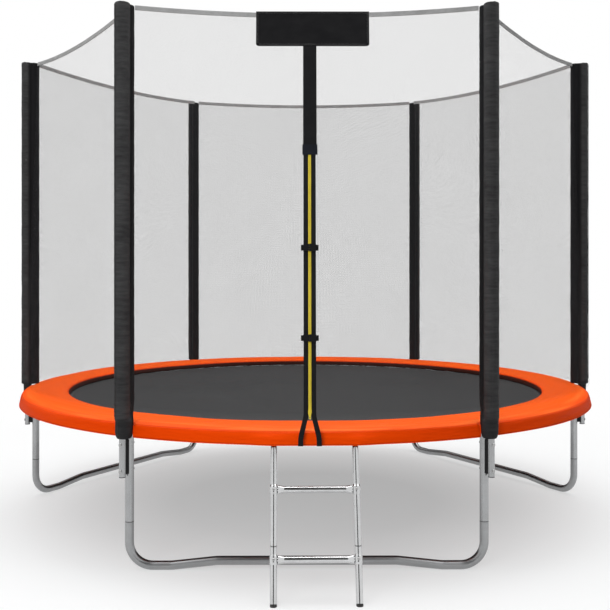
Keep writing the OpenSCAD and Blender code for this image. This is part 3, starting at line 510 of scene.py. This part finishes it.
def sleeve(number):
    """Padded cover of one pole: the outline carried up the pole and pushed in and out by uneven
    puckers. Near the rim the outline changes to one round, which on the two front poles is wide
    and ends in a rounded foot and on the others is a narrow tail round the pole. At the top
    every point turns over a small radius and runs to its own centre in a nearly flat lid."""
    x, y, centre, around = sleeve_outline()
    front = number > 4
    top, edge, foot, inset, hole = POLE_TOPS[number], 0.006, 0.030, 0.013, 0.0149
    bend, turn = np.radians(np.linspace(0, 78, 7)), np.radians(np.linspace(15, 90, 6))
    lid = np.array([0.82, 0.6, 0.35, 0.0])
    z = np.concatenate([[SLEEVE_TAIL + 0.001], SLEEVE_TAIL + foot * (1 - np.cos(bend)),
                        np.linspace(SLEEVE_TAIL + foot, 0.66, 40),
                        np.linspace(0.667, top - edge, 250),
                        top - edge + edge * np.sin(turn), top + 0.003 * (1 - lid ** 2)])
    share = around[:-1, None] / around[-1]
    slack = waves(40 + number, share, z, (2, 9), (-9, 9), 16, True)
    fine = waves(60 + number, share, z, (1, 6), (-65, 65), 18, True)
    folds = waves(80 + number, share, z, (5, 13), (-9, 9), 12, True)
    seam = np.exp(-((x[:, None] - 0.030) ** 2 + (y[:, None] + 0.016) ** 2) / 0.003 ** 2)
    gathers = 0.0010 * step(0.74, 0.60, z) * folds
    puff = 0.0006 * slack + 0.0004 * fine + gathers - 0.0006 - 0.0009 * seam

    # Upper shape, with its lid
    size = np.where(centre == 0, SLEEVE_R, LOBE_R)[:, None]
    shrink = np.ones((len(x), len(z)))
    shrink[:, -10:-4] = 1 - edge * (1 - np.cos(turn)) / size
    shrink[:, -4:] = lid * shrink[:, -5:-4]
    up_x = centre[:, None] + (x - centre)[:, None] * shrink * (1 + puff / size)
    up_y = y[:, None] * shrink * (1 + puff / size)

    # Lower shape, a round held off the rim's edge, with its foot drawn in
    reach, shift = (0.0385, -0.0130) if front else (0.022, 0.0)
    close = np.ones(len(z))
    close[:8] = np.append(hole / reach, 1 - inset * (1 - np.sin(bend)) / reach)
    phi = np.arctan2(y, x - shift)[:, None]
    back = -0.0245 - 0.0165 * step(0.6165, 0.624, z) - 0.015 * step(0.628, 0.634, z)
    low_x = np.maximum(shift * close + (reach + puff) * close * np.cos(phi), back)
    low_y = (reach + puff) * close * np.sin(phi)

    # One runs into the other just above the rim, more slowly on a front cover's inner side
    start, end = (0.634, 0.652) if front else (0.6235, 0.6315)
    part = step(start, end + front * 0.088 * step(0.2, -0.5, np.cos(phi)), z)
    out, aside = low_x + (up_x - low_x) * part, low_y + (up_y - low_y) * part
    rise = z + 0.0008 * folds * (z > top - 0.0005) + step(2.3, top, z) * 0.05 * (out - 0.03)
    rows = at_pole(number, POLE_R + out, aside, rise)
    foot_ring = rows[:, :1]
    drawn_in = foot_ring + (at_pole(number, POLE_R, 0, z[0]) - foot_ring) * 0.04
    body = Surface()
    body.grid(rows, around, z, wrap_u=True)
    body.grid(np.concatenate([foot_ring, drawn_in], 1), wrap_u=True)
    piece = body.build(f"sleeve_{number}", SLEEVE)
    add_backing_and_shade(piece, number)
    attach(piece, "frame")
    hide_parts(f"pole_sleeve_{number}")
    sleeve_seam(number)


def add_backing_and_shade(piece, number):
    """The attribute that darkens a sleeve's cloth on the net's side, partly as a darker cloth
    and partly as painted shade, and round its foot.
    """
    co = np.empty(len(piece.data.vertices) * 3)
    piece.data.vertices.foreach_get("co", co)
    off = co.reshape(-1, 3) - at_pole(number, POLE_R, 0, 0)
    a = math.radians(60 * (number - 1))
    inward = -(off[:, 0] * math.cos(a) + off[:, 1] * math.sin(a))
    # On the net's side this darkening is partly a darker cloth and partly painted shade.
    dark = np.maximum(step(0.004, 0.022, inward), 0.6 * step(0.660, 0.630, off[:, 2]))
    backing = piece.data.attributes.new("backing", "FLOAT", "POINT")
    backing.data.foreach_set("value", dark.astype(np.float32))


def sleeve_seam(number):
    """The overlapped seam down the outer side of a sleeve."""
    z = np.linspace(0.657, POLE_TOPS[number] - 0.010, 120)
    bulge = 0.00035 * np.sin(2 * np.pi * z / 0.045)
    path = at_pole(number, POLE_R + 0.0302 + bulge, -0.0162, z)
    axis = at_pole(number, 0, 0, z)
    side, out = at_pole(number, 0.47, 0.88, z) - axis, at_pole(number, 0.88, -0.47, z) - axis
    seam = Surface()
    seam.grid(capped(band(path, side, out, 0.007, 0.0013)), wrap_v=True)
    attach(seam.build(f"sleeve_seam_{number}", SLEEVE), "frame")


for pole in range(1, 7):
    sleeve(pole)


def foam_tubes():
    """Foam tubes inside the sleeves: each a ring-shaped section carried up its pole."""
    foam = Surface()
    a = np.linspace(0, 2 * np.pi, 49)[:-1]
    r = np.array([0.0146, 0.029, 0.031, 0.031, 0.031, 0.031, 0.029, 0.0146])
    z = np.array([0.650, 0.650, 0.652, 1.2, 1.8, 2.370, 2.372, 2.372])
    for number in range(1, 7):
        rows = at_pole(number, POLE_R + r * np.cos(a)[:, None], r * np.sin(a)[:, None], z)
        foam.grid(rows, wrap_u=True, wrap_v=True)
    piece = foam.build("foam_tubes", FOAM)
    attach(piece, "frame")
    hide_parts("pole_foam")


foam_tubes()

# ---------------------------------------------------------------- bed


def notch_radius(angle):
    """Outer radius of the pad along an angle: the full radius, less the round slots that the
    padded poles stand in."""
    off = np.radians((angle + 30) % 60 - 30)
    s = POLE_R * np.sin(off)
    bite = POLE_R * np.cos(off) - np.sqrt(np.maximum(NOTCH_R ** 2 - s ** 2, 0))
    return np.where(np.abs(s) < NOTCH_R, np.minimum(PAD_R, bite), PAD_R)


def skirt_bulge(angle):
    """How far the skirt stands out at the front, where it is pulled straight over the ladder."""
    x = PAD_R * np.cos(np.radians(angle) - LADDER_TURN)
    y = PAD_R * np.sin(np.radians(angle) - LADDER_TURN)
    flat = np.where(y < 0, PAD_R / np.maximum(-y / PAD_R, 0.5) - PAD_R, 0)
    fade = step(0.300, 0.165, np.abs(x))
    return np.where(y < 0, np.minimum(flat, 0.0105) * fade, 0)


def safety_pad():
    """The rim pad, as a section carried round the ring: the lip over the mat's edge, the inner
    face, a low crown over the springs that slopes to the outer rim, the skirt flaring down
    outside the ring, and back underneath. Uneven creases run round it, the section draws in at
    its radial seams, and at the poles the skirt is cut away round a slot."""
    angle = np.linspace(0, 360, 1441)[:-1]
    lip = np.array([[1.300, 0.5945], [1.286, 0.5945], [1.2822, 0.597], [1.2812, 0.603],
                    [1.2822, 0.612], [1.2855, 0.6205], [1.2905, 0.6265], [1.2965, 0.6295]])
    r = np.linspace(1.304, 1.511, 26)
    inner_fall = 0.0075 * (np.maximum(1.38 - r, 0) / 0.0835) ** 2
    outer_fall = 0.0125 * (np.maximum(r - 1.44, 0) / 0.076) ** 1.6
    crown = PAD_TOP - inner_fall - outer_fall
    rim = np.array([[1.516, 0.6243], [1.5195, 0.6228], [1.5225, 0.6203], [1.525, 0.6165],
                    [1.527, 0.6115]])
    skirt = np.stack([np.linspace(1.529, PAD_R, 13), np.linspace(0.606, SKIRT_Z, 13)], -1)
    under = np.array([[PAD_R - 0.0025, SKIRT_Z], [1.5268, 0.604], [1.521, 0.6140], [1.505, 0.6157],
                      [1.48, 0.6155], [1.42, 0.612], [1.35, 0.608], [1.325, 0.602], [1.312, 0.595]])
    section = np.concatenate([lip, np.stack([r, crown], -1), rim, skirt, under])
    r, z = section[:, 0], section[:, 1]
    across = lengths(section)
    place = np.arange(len(r))
    seen = step(0.03, 0.06, across) * step(len(r) - 9, len(r) - 11, place)
    turn = angle[:, None] / 360
    creases = waves(5, turn, across * 24, (3, 26), (0.6, 2.4), 22, True)
    broad = waves(6, turn, across * 9, (4, 15), (0.2, 1.0), 14, True)
    fine = waves(7, turn, across * 60, (20, 110), (-1.4, 1.4), 30, True)
    hangs = step(0.622, 0.608, z) * seen
    seam = np.exp(-((angle + 30) % 60 - 30) ** 2 / 0.14 ** 2)[:, None]
    lift = (0.0009 * creases + 0.0012 * broad - 0.0022 * seam - 0.0006) * (1 - hangs) * seen
    near = step(1.44, PAD_R, r)
    opened = (PAD_R - notch_radius(angle))[:, None]
    bulge = skirt_bulge(angle)[:, None] * step(0.6255, 0.592, z) * near
    rr = r - near * opened + bulge - np.abs(0.0014 * broad + 0.0006 * fine) * hangs
    slot = step(0, 0.014, opened)
    zz = z + np.maximum(0.6175 - z, 0) * slot * (r > 1.47)
    zz = np.minimum(zz + lift, PAD_TOP + 0.0012)
    pad = Surface()
    pad.grid(polar(rr, angle[:, None], zz), np.append(angle, 360) / 360 * 2 * np.pi * PAD_R,
             np.append(across, across[-1] + 0.01), wrap_u=True, wrap_v=True)
    piece = pad.build("rim_pad", PAD, sharp=70)
    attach(piece, "frame")
    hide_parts("safety_pad")


safety_pad()


def bed_mat():
    """The jumping mat: rings of points from the middle to the doubled edge, which is a little
    thicker, and back underneath; the cloth between the springs draws in very slightly."""
    angle = np.linspace(0, 360, 8 * SPRINGS + 1)[:-1]
    edge_r = np.array([1.269, 1.271, 1.285, 1.2985, 1.300])
    edge_half = np.array([0.0015, 0.0029, 0.0030, 0.0028, 0.0016])
    r = np.concatenate([np.linspace(0, 1.262, 30), edge_r, edge_r[::-1], np.linspace(1.262, 0, 12)])
    half = np.concatenate([np.full(30, 0.0015), edge_half, -edge_half[::-1], np.full(12, -0.0015)])
    pull = 0.0016 * (np.cos(np.radians(angle * SPRINGS))[:, None] - 1) * step(1.24, 1.30, r)
    bed = Surface()
    bed.grid(polar(r + pull, angle[:, None], MAT_Z + half), np.append(angle, 360) / RADIAN * MAT_R,
             lengths(np.stack([r, half], -1)), wrap_u=True)
    piece = bed.build("bed_mat", MAT)
    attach(piece, "mat")
    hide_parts("jump_mat")


bed_mat()


def coil_spring(index):
    """One spring, drawn along +X and turned to its place: a wire of round section on a helix of
    tapering radius, run out straight into a hook at both ends."""
    angle = 360 / SPRINGS * index
    turns, per_turn = 26, 12
    inner, outer = MAT_R + 0.052, RING_R - 0.019 - 0.022
    t = np.linspace(0, 1, turns * per_turn + 1)
    radius = 0.0088 * np.minimum(np.minimum(t, 1 - t) * 16, 1) ** 0.7 + 0.0004
    x = inner + (outer - inner) * t
    y, z = radius * np.cos(2 * np.pi * turns * t), radius * np.sin(2 * np.pi * turns * t)
    start = np.array([[1.3225, 0, -0.016], [1.3225, 0, -0.008], [1.3235, 0, -0.002], [1.330, 0, 0],
                      [1.343, 0, 0]])
    end = np.array([[1.472, 0, 0], [1.482, 0, 0], [1.490, 0, 0.0002], [1.4935, 0, -0.002],
                    [1.4945, 0, -0.006]])
    path = np.concatenate([start, np.stack([x, y, z], -1), end])
    tangent = np.gradient(path, axis=0)
    tangent /= np.linalg.norm(tangent, axis=1, keepdims=True)
    first = np.cross(tangent, [0.13, 0.98, 0.11])
    first /= np.linalg.norm(first, axis=1, keepdims=True)
    second = np.cross(tangent, first)
    around = np.radians(np.arange(5) * 72)[:, None]
    ring = np.cos(around) * first[:, None] + np.sin(around) * second[:, None]
    wire = path[:, None] + 0.0017 * ring
    wire = turned(angle, wire[..., 0], wire[..., 1], wire[..., 2] + SPRING_Z)
    coil = Surface()
    coil.grid(capped(wire), wrap_v=True)
    piece = coil.build(f"spring_{index + 1}", WIRE)
    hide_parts("springs")
    tuple(polar(1.478, angle, SPRING_Z))
    tuple(polar(1.338, angle, SPRING_Z))
    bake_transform(piece)


for spring in range(SPRINGS):
    coil_spring(spring)

# ---------------------------------------------------------------- net

# Circle that the net's edges end on, and how far from a pole's angle
TOP_EDGE = (1.4931, 0.012)
FOOT_EDGE = (1.556, 0.039)


def net_point(u, v, number):
    """A point of the net between two poles: u runs from pole to pole, and v from the sagging
    upper edge down to the lower edge, which lies on a circle at the rim. Above that the cloth
    soon runs straight from pole to pole. The door's panel goes from flat to round evenly, so
    that the zip is straight. Small folds run up and down between the two edges."""
    u, v = np.asarray(u, float)[..., None], np.asarray(v, float)[..., None]
    first, last = 60 * (number - 1), 60 * number
    radius, slip = TOP_EDGE[0], np.degrees(TOP_EDGE[1] / TOP_EDGE[0])
    left = polar(radius, first + slip, NET_TOPS[number])
    right = polar(radius, last - slip, NET_TOPS[number % 6 + 1])
    top = left + (right - left) * u - np.array([0, 0, 4 * NET_SAGS[number]]) * u * (1 - u)
    radius, slip = FOOT_EDGE[0], np.degrees(FOOT_EDGE[1] / FOOT_EDGE[0])
    start, end = polar(radius, first + slip, NET_FOOT_Z), polar(radius, last - slip, NET_FOOT_Z)
    straight = start + (end - start) * u
    foot = polar(radius, (first + slip + (60 - 2 * slip) * u)[..., 0], NET_FOOT_Z)
    flare = v if number == 5 else v ** 3
    point = top + (straight - top) * v + (foot - straight) * flare
    held = (4 * u * (1 - u)) ** 0.5 * np.sin(np.pi * v) ** 0.5
    fold = 0.004 * waves(100 + number, u, v, (1, 7), (-0.8, 0.8), 10) * held
    middle = math.radians(first + 30)
    return point + fold * np.array([math.cos(middle), math.sin(middle), 0.1])


def net_sheet(number, name, spans, nodes):
    """A net panel, or the two halves of one, as an open sheet."""
    net = Surface()
    material = FRONT_NET if number > 3 else NET
    for low, high in spans:
        u, v = np.linspace(low, high, 49), np.linspace(0, 1, 61)
        points = net_point(*np.meshgrid(u, v, indexing="ij"), number)
        net.grid(points, u * 1.49, v * 1.84)
    piece = net.build(name, material, closed=False)
    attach(piece, "frame")
    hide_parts(*nodes)
    return piece


def net_hem(number):
    """The doubled upper edge of the net: a flat tube along its top."""
    u = np.linspace(0.004, 0.996, 80)
    path = net_point(u, 0.0052 + 0 * u, number)
    down = net_point(u, 0.0092 + 0 * u, number) - path
    down /= np.linalg.norm(down, axis=1, keepdims=True)
    out = np.cross(down, np.gradient(path, axis=0))
    out /= np.linalg.norm(out, axis=1, keepdims=True)
    rows = band(path - out * 0.0016, down, out, 0.0205, 0.0032)
    piece = strap(f"net_hem_{number}", path, rows, 0.004, HEM)
    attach(piece, "frame")
    return piece


HALF_CHORD = 0.7328
ZIP_U = 0.5 + DOOR_X / (2 * HALF_CHORD)
for side in (1, 2, 3, 4, 6):
    panel = net_sheet(side, f"net_{side}", [(0, 1)], [f"net_panel_{side}"])
    hem = net_hem(side)
GAP = 0.0075 / (2 * HALF_CHORD)
door_net = net_sheet(5, "net_door_halves", [(0, ZIP_U - GAP), (ZIP_U + GAP, 1)], ["net_door"])
door_hem = net_hem(5)

# ---------------------------------------------------------------- door


def door_frame(up):
    """Side and outward directions at points up the door's slope."""
    origin = on_door(0, up, 0)
    return on_door(1, up, 0) - origin, on_door(0, up, 1) - origin


def name_panel():
    """The blank cloth panel above the door: a rectangle with rounded lower corners and a raised
    stitched border. Its face is a grid whose rows are shortened towards the corners, pillowed a
    little and pulled into faint ripples between its edges."""
    (width, height), corner = PANEL_SIZE, 0.012
    s, t = np.linspace(-1, 1, 121), np.linspace(0, 1, 49)
    s, t = np.meshgrid(s, t, indexing="ij")
    y = (t - 0.5) * height
    low = np.clip((corner - (y + height / 2)) / corner, 0, 1)
    half = width / 2 - corner * (1 - np.sqrt(1 - low ** 2))
    x = s * half
    inset = np.minimum(np.minimum(half - np.abs(x), height / 2 - np.abs(y)), 0.1)
    rim = step(0.0, 0.0015, inset) * (1 - 0.45 * step(0.0085, 0.0105, inset))
    ripple = waves(21, x * 9, y * 16, (-1.6, 1.6), (-1.2, 1.2), 16) * step(0.01, 0.04, inset)
    groove = np.exp(-((inset - 0.006) / 0.0007) ** 2)
    front = 0.0036 + 0.0022 * rim + 0.0011 * ripple - 0.0005 * groove
    up = up_slope(PANEL_Z)
    face = on_door(x + PANEL_X, y + up, front)
    back = on_door(x + PANEL_X, y + up, 0.0032)
    panel = Surface()
    panel.grid(face, s[:, 0] * width / 2, t[0] * height)
    panel.grid(back, s[:, 0] * width / 2, t[0] * height)
    for pick in (np.s_[:, :1], np.s_[:, -1:], np.s_[:1, :], np.s_[-1:, :]):
        panel.grid(np.stack([face[pick].reshape(-1, 3), back[pick].reshape(-1, 3)], 1))
    piece = panel.build("name_panel", PANEL)
    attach(piece, "frame")
    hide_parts("door_panel")

    # Two rows of stitches round the border
    stitches = Surface()
    for inset in (0.004, 0.0085):
        w, h = width - 2 * inset, height - 2 * inset
        n, m = int(w / 0.0055), int(h / 0.0055)
        wide, tall = np.linspace(-w / 2, w / 2, n), np.linspace(-h / 2, h / 2, m)
        x = np.concatenate([wide, np.full(m, w / 2), wide, np.full(m, -w / 2)])
        y = np.concatenate([np.full(n, -h / 2), tall, np.full(n, h / 2), tall])
        level = np.repeat([True, False, True, False], [n, m, n, m])
        keep = ~((np.abs(x) > width / 2 - corner) & (y < corner - height / 2))
        stitches_on(stitches, x[keep] + PANEL_X, y[keep] + up, level[keep])
    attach(stitches.build("panel_stitches", THREAD), "frame")


def stitches_on(surface, x, y, level):
    """Single stitches on the panel's face: small pointed bars, level or up the slope."""
    t = np.array([-0.5, -0.3, 0.3, 0.5])[None, :, None]
    row = np.array([-1, 0, 1])[None, None, :]
    across = row * 0.0004 * np.array([0.2, 1, 1, 0.2])[None, :, None]
    along = t * 0.0036 + 0 * across
    out = 0.0060 + 0.0006 * (1 - np.abs(row)) * (1 - (2 * t) ** 2)
    for pick, dx, dy in ((level, along, across), (~level, across, along)):
        for one in on_door(x[pick][:, None, None] + dx, y[pick][:, None, None] + dy, out):
            surface.grid(one)


name_panel()


def door_strap(name, x, ups, width, out, thick, finish, replaced=None, waver=0.0, seed=1):
    """A flat tape on the door's plane, straight up the slope between two points."""
    u = np.linspace(0, 1, 90)
    uneven = waver * waves(seed, u * 4, u * 0, (0.5, 3), (0, 0), 8)
    path = on_door(x, np.interp(u, [0, 1], ups), out + uneven)
    rows = band(path, *door_frame(np.interp(u, [0, 1], ups)), width, thick)
    piece = strap(name, path, rows, width / 7, finish)
    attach(piece, "frame")
    if replaced:
        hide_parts(replaced)
    return piece


FLAP_X = 0.0015
FLAP_FOOT = up_slope(FLAP_FOOT_Z)
flap = door_strap("door_flap_strip", FLAP_X, [FLAP_FOOT, up_slope(PANEL_Z) - 0.0775], 0.0565,
                  0.0056, 0.0018, TAPE, "door_flap", 0.0003, 3)
loop = door_strap("door_flap_loop", FLAP_X, [FLAP_FOOT - 0.002, FLAP_FOOT + 0.042], 0.063,
                  0.0050, 0.0034, LOOP)


def zip_fastening():
    """Both halves of the zip: black binding tapes, yellow inner tapes, two rows of teeth and, at
    the foot, the tapes that part and run down over the skirt."""
    head, low = up_slope(ZIP_HEAD), -0.1207
    for sign, side in ((-1, "left"), (1, "right")):
        tape = door_strap(f"binding_tape_{side}", sign * 0.0157, [0.0, head], 0.0192, 0.0034,
                          0.0020, TAPE, "zip_tapes" if sign > 0 else None, 0.0002, 30 + sign)
        door_strap(f"zip_tape_{side}", sign * 0.0032, [0.0, head], 0.0060, 0.0034, 0.0013,
                   ZIP_YELLOW, None, 0.0001)
        u = np.linspace(0, 1, 60)
        up = np.interp(u, [0, 0.72, 1], [0.006, -0.086, low])
        xs = np.interp(u, [0, 0.12, 0.66, 0.80, 1], [0.0155, 0.0175, 0.0345, 0.0370, 0.0372])
        path = on_door(sign * xs, up, 0.0038)
        _, normal = door_frame(up)
        along = np.gradient(path, axis=0)
        along /= np.linalg.norm(along, axis=1, keepdims=True)
        width = np.interp(u, [0, 0.15, 1], [0.0192, 0.0200, 0.0205])
        rows = band(path, np.cross(normal, along), normal, width, 0.0022)
        tail = strap(f"door_tail_{side}", path, rows, 0.0026, TAPE)
        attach(tail, "frame")

    # Teeth: small blocks in turn from both sides, drawn together to one row
    teeth = Surface()
    y = np.arange(0.004, head - 0.004, 0.0052)
    for sign, shift in ((-1, 0.0), (1, 0.0026)):
        for up in y + shift:
            block_x = sign * np.array([-0.0006, 0.0026])[:, None]
            block_y = up + np.array([-0.0011, 0.0011, 0.0011, -0.0011])
            teeth.grid(on_door(block_x, block_y, np.array([0.0046, 0.0046, 0.0062, 0.0062])),
                       wrap_v=True)
    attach(teeth.build("zip_teeth", ZIP_YELLOW), "frame")


zip_fastening()

# ---------------------------------------------------------------- studio


SKY = 0.20
FLOOR_GLOW = 0.40
# The fade starts under the object, so it paints light into the outer part of its shadow.
FLOOR_FADE = (0.7, 3.7)
LAMPS = (("key", (-2.6, 0.0, 6.4), 7.0, 220), ("fill", (2.8, 0.1, 6.0), 7.0, 185),
         ("top", (0.0, 1.8, 6.6), 6.0, 150), ("front", (-1.9, -6.6, 2.3), 4.0, 190))
LAMP_AIM = (0, 0, 0.9)
CARD_R = 6
CARDS = (("behind", (35, 145), (0, 30)), ("before", (-105, -79), (4, 75)))

# Camera: picture size, focal length and optical axis in pixels, eye in metres from the ring's axis
PICTURE = 610
FOCAL = 965
AXIS = (304.4, 262.8)
EYE = (-0.031, -5.402, 1.302)
CAMERA_TURN = -0.0049
SENSOR = 36


def rays(paint):
    """1 where something is seen by the camera, in a gloss or through a clear part, and 0 for the
    light that falls on the object."""
    path = paint.node("ShaderNodeLightPath").out.node.outputs
    camera, gloss, clear = [Value(paint, path[f"Is {name} Ray"])
                            for name in ("Camera", "Glossy", "Transmission")]
    return camera.max(gloss).max(clear)


def ground():
    """Pale floor that fades to white from under the object outwards, which paints light into the
    outer part of its shadow, and the white surroundings.
    """
    floor = Surface()
    a = np.linspace(0, 2 * np.pi, 97)[:-1, None]
    r = np.array([0, 1, 2, 3, 5, 12, 30, 60.0])
    parts = r * np.cos(a), r * np.sin(a), -0.0006
    floor.grid(np.stack(np.broadcast_arrays(*parts), -1), wrap_u=True)
    p = Paint("studio_floor")
    x, y, _ = p.parts(p.place())
    # Painted light: from the fade's start the floor turns white for seen rays, lightening the outer
    # part of the object's shadow.
    far = ((x * x + y * y) ** 0.5).span(*FLOOR_FADE)
    seen = rays(p)
    shade = p.node("ShaderNodeBsdfDiffuse", {}, {"Color": (0.55, 0.56, 0.565)})
    glow = p.node("ShaderNodeEmission", {}, {"Color": (1, 1, 1), "Strength": seen * FLOOR_GLOW})
    white = p.node("ShaderNodeEmission", {}, {"Color": (1, 1, 1), "Strength": seen})
    near = p.node("ShaderNodeAddShader", {}, [shade, glow])
    finish = p.end(p.node("ShaderNodeMixShader", {}, [far, near, white]))
    floor.build("studio_floor", finish, closed=False)

    p = Paint("studio", world=True)
    bpy.context.scene.world = p.owner
    level = rays(p) * (1.0 - SKY) + SKY
    light = p.node("ShaderNodeBackground", {}, {"Color": (1, 1, 1), "Strength": level})
    p.end(light, "ShaderNodeOutputWorld")


def dark_cards():
    """Grey cards, seen only in the steel's reflections."""
    p = Paint("card_grey")
    tone = p.noise(p.place(), 2.0).span(0.3, 0.7)
    grey = p.surface(Base_Color=p.mix(tone, (0.08, 0.08, 0.08), (0.11, 0.11, 0.11)), Roughness=0.9)
    for name, side, rise in CARDS:
        card = Surface()
        a, up = np.radians(np.linspace(*side, 17))[:, None], np.radians(np.linspace(*rise, 9))
        parts = np.cos(a) * np.cos(up), np.sin(a) * np.cos(up), np.sin(up)
        card.grid(CARD_R * np.stack(np.broadcast_arrays(*parts), -1))
        made = card.build(f"card_{name}", grey, closed=False)
        made.visible_camera = made.visible_diffuse = False
        made.visible_transmission = made.visible_shadow = False


def placed(name, data, place, turn):
    """Puts a lamp or a camera in the scene."""
    holder = bpy.data.objects.new(name, data)
    bpy.context.scene.collection.objects.link(holder)
    holder.location, holder.rotation_euler = place, turn
    return holder


def lamps_and_camera():
    """Soft round lamps aimed at the object's middle, and the camera."""
    for name, place, size, power in LAMPS:
        lamp = bpy.data.lights.new(name, "AREA")
        lamp.shape, lamp.size, lamp.energy = "DISK", size, power
        x, y, z = np.array(LAMP_AIM) - place
        turn = math.atan2(math.hypot(x, y), -z), 0, math.atan2(y, x) - math.pi / 2
        placed(name, lamp, place, turn).visible_glossy = name != "front"

    lens = bpy.data.cameras.new("camera")
    lens.sensor_width, lens.lens = SENSOR, SENSOR * FOCAL / PICTURE
    lens.shift_x = (PICTURE / 2 - AXIS[0]) / PICTURE
    lens.shift_y = (AXIS[1] - PICTURE / 2) / PICTURE
    lens.clip_end = 200
    turn = math.pi / 2, 0, CAMERA_TURN
    bpy.context.scene.camera = placed("camera", lens, (EYE[0], EYE[1] + FOOTPRINT_Y, EYE[2]), turn)
    bpy.context.scene.view_settings.view_transform = "Standard"


ground()
dark_cards()
lamps_and_camera()
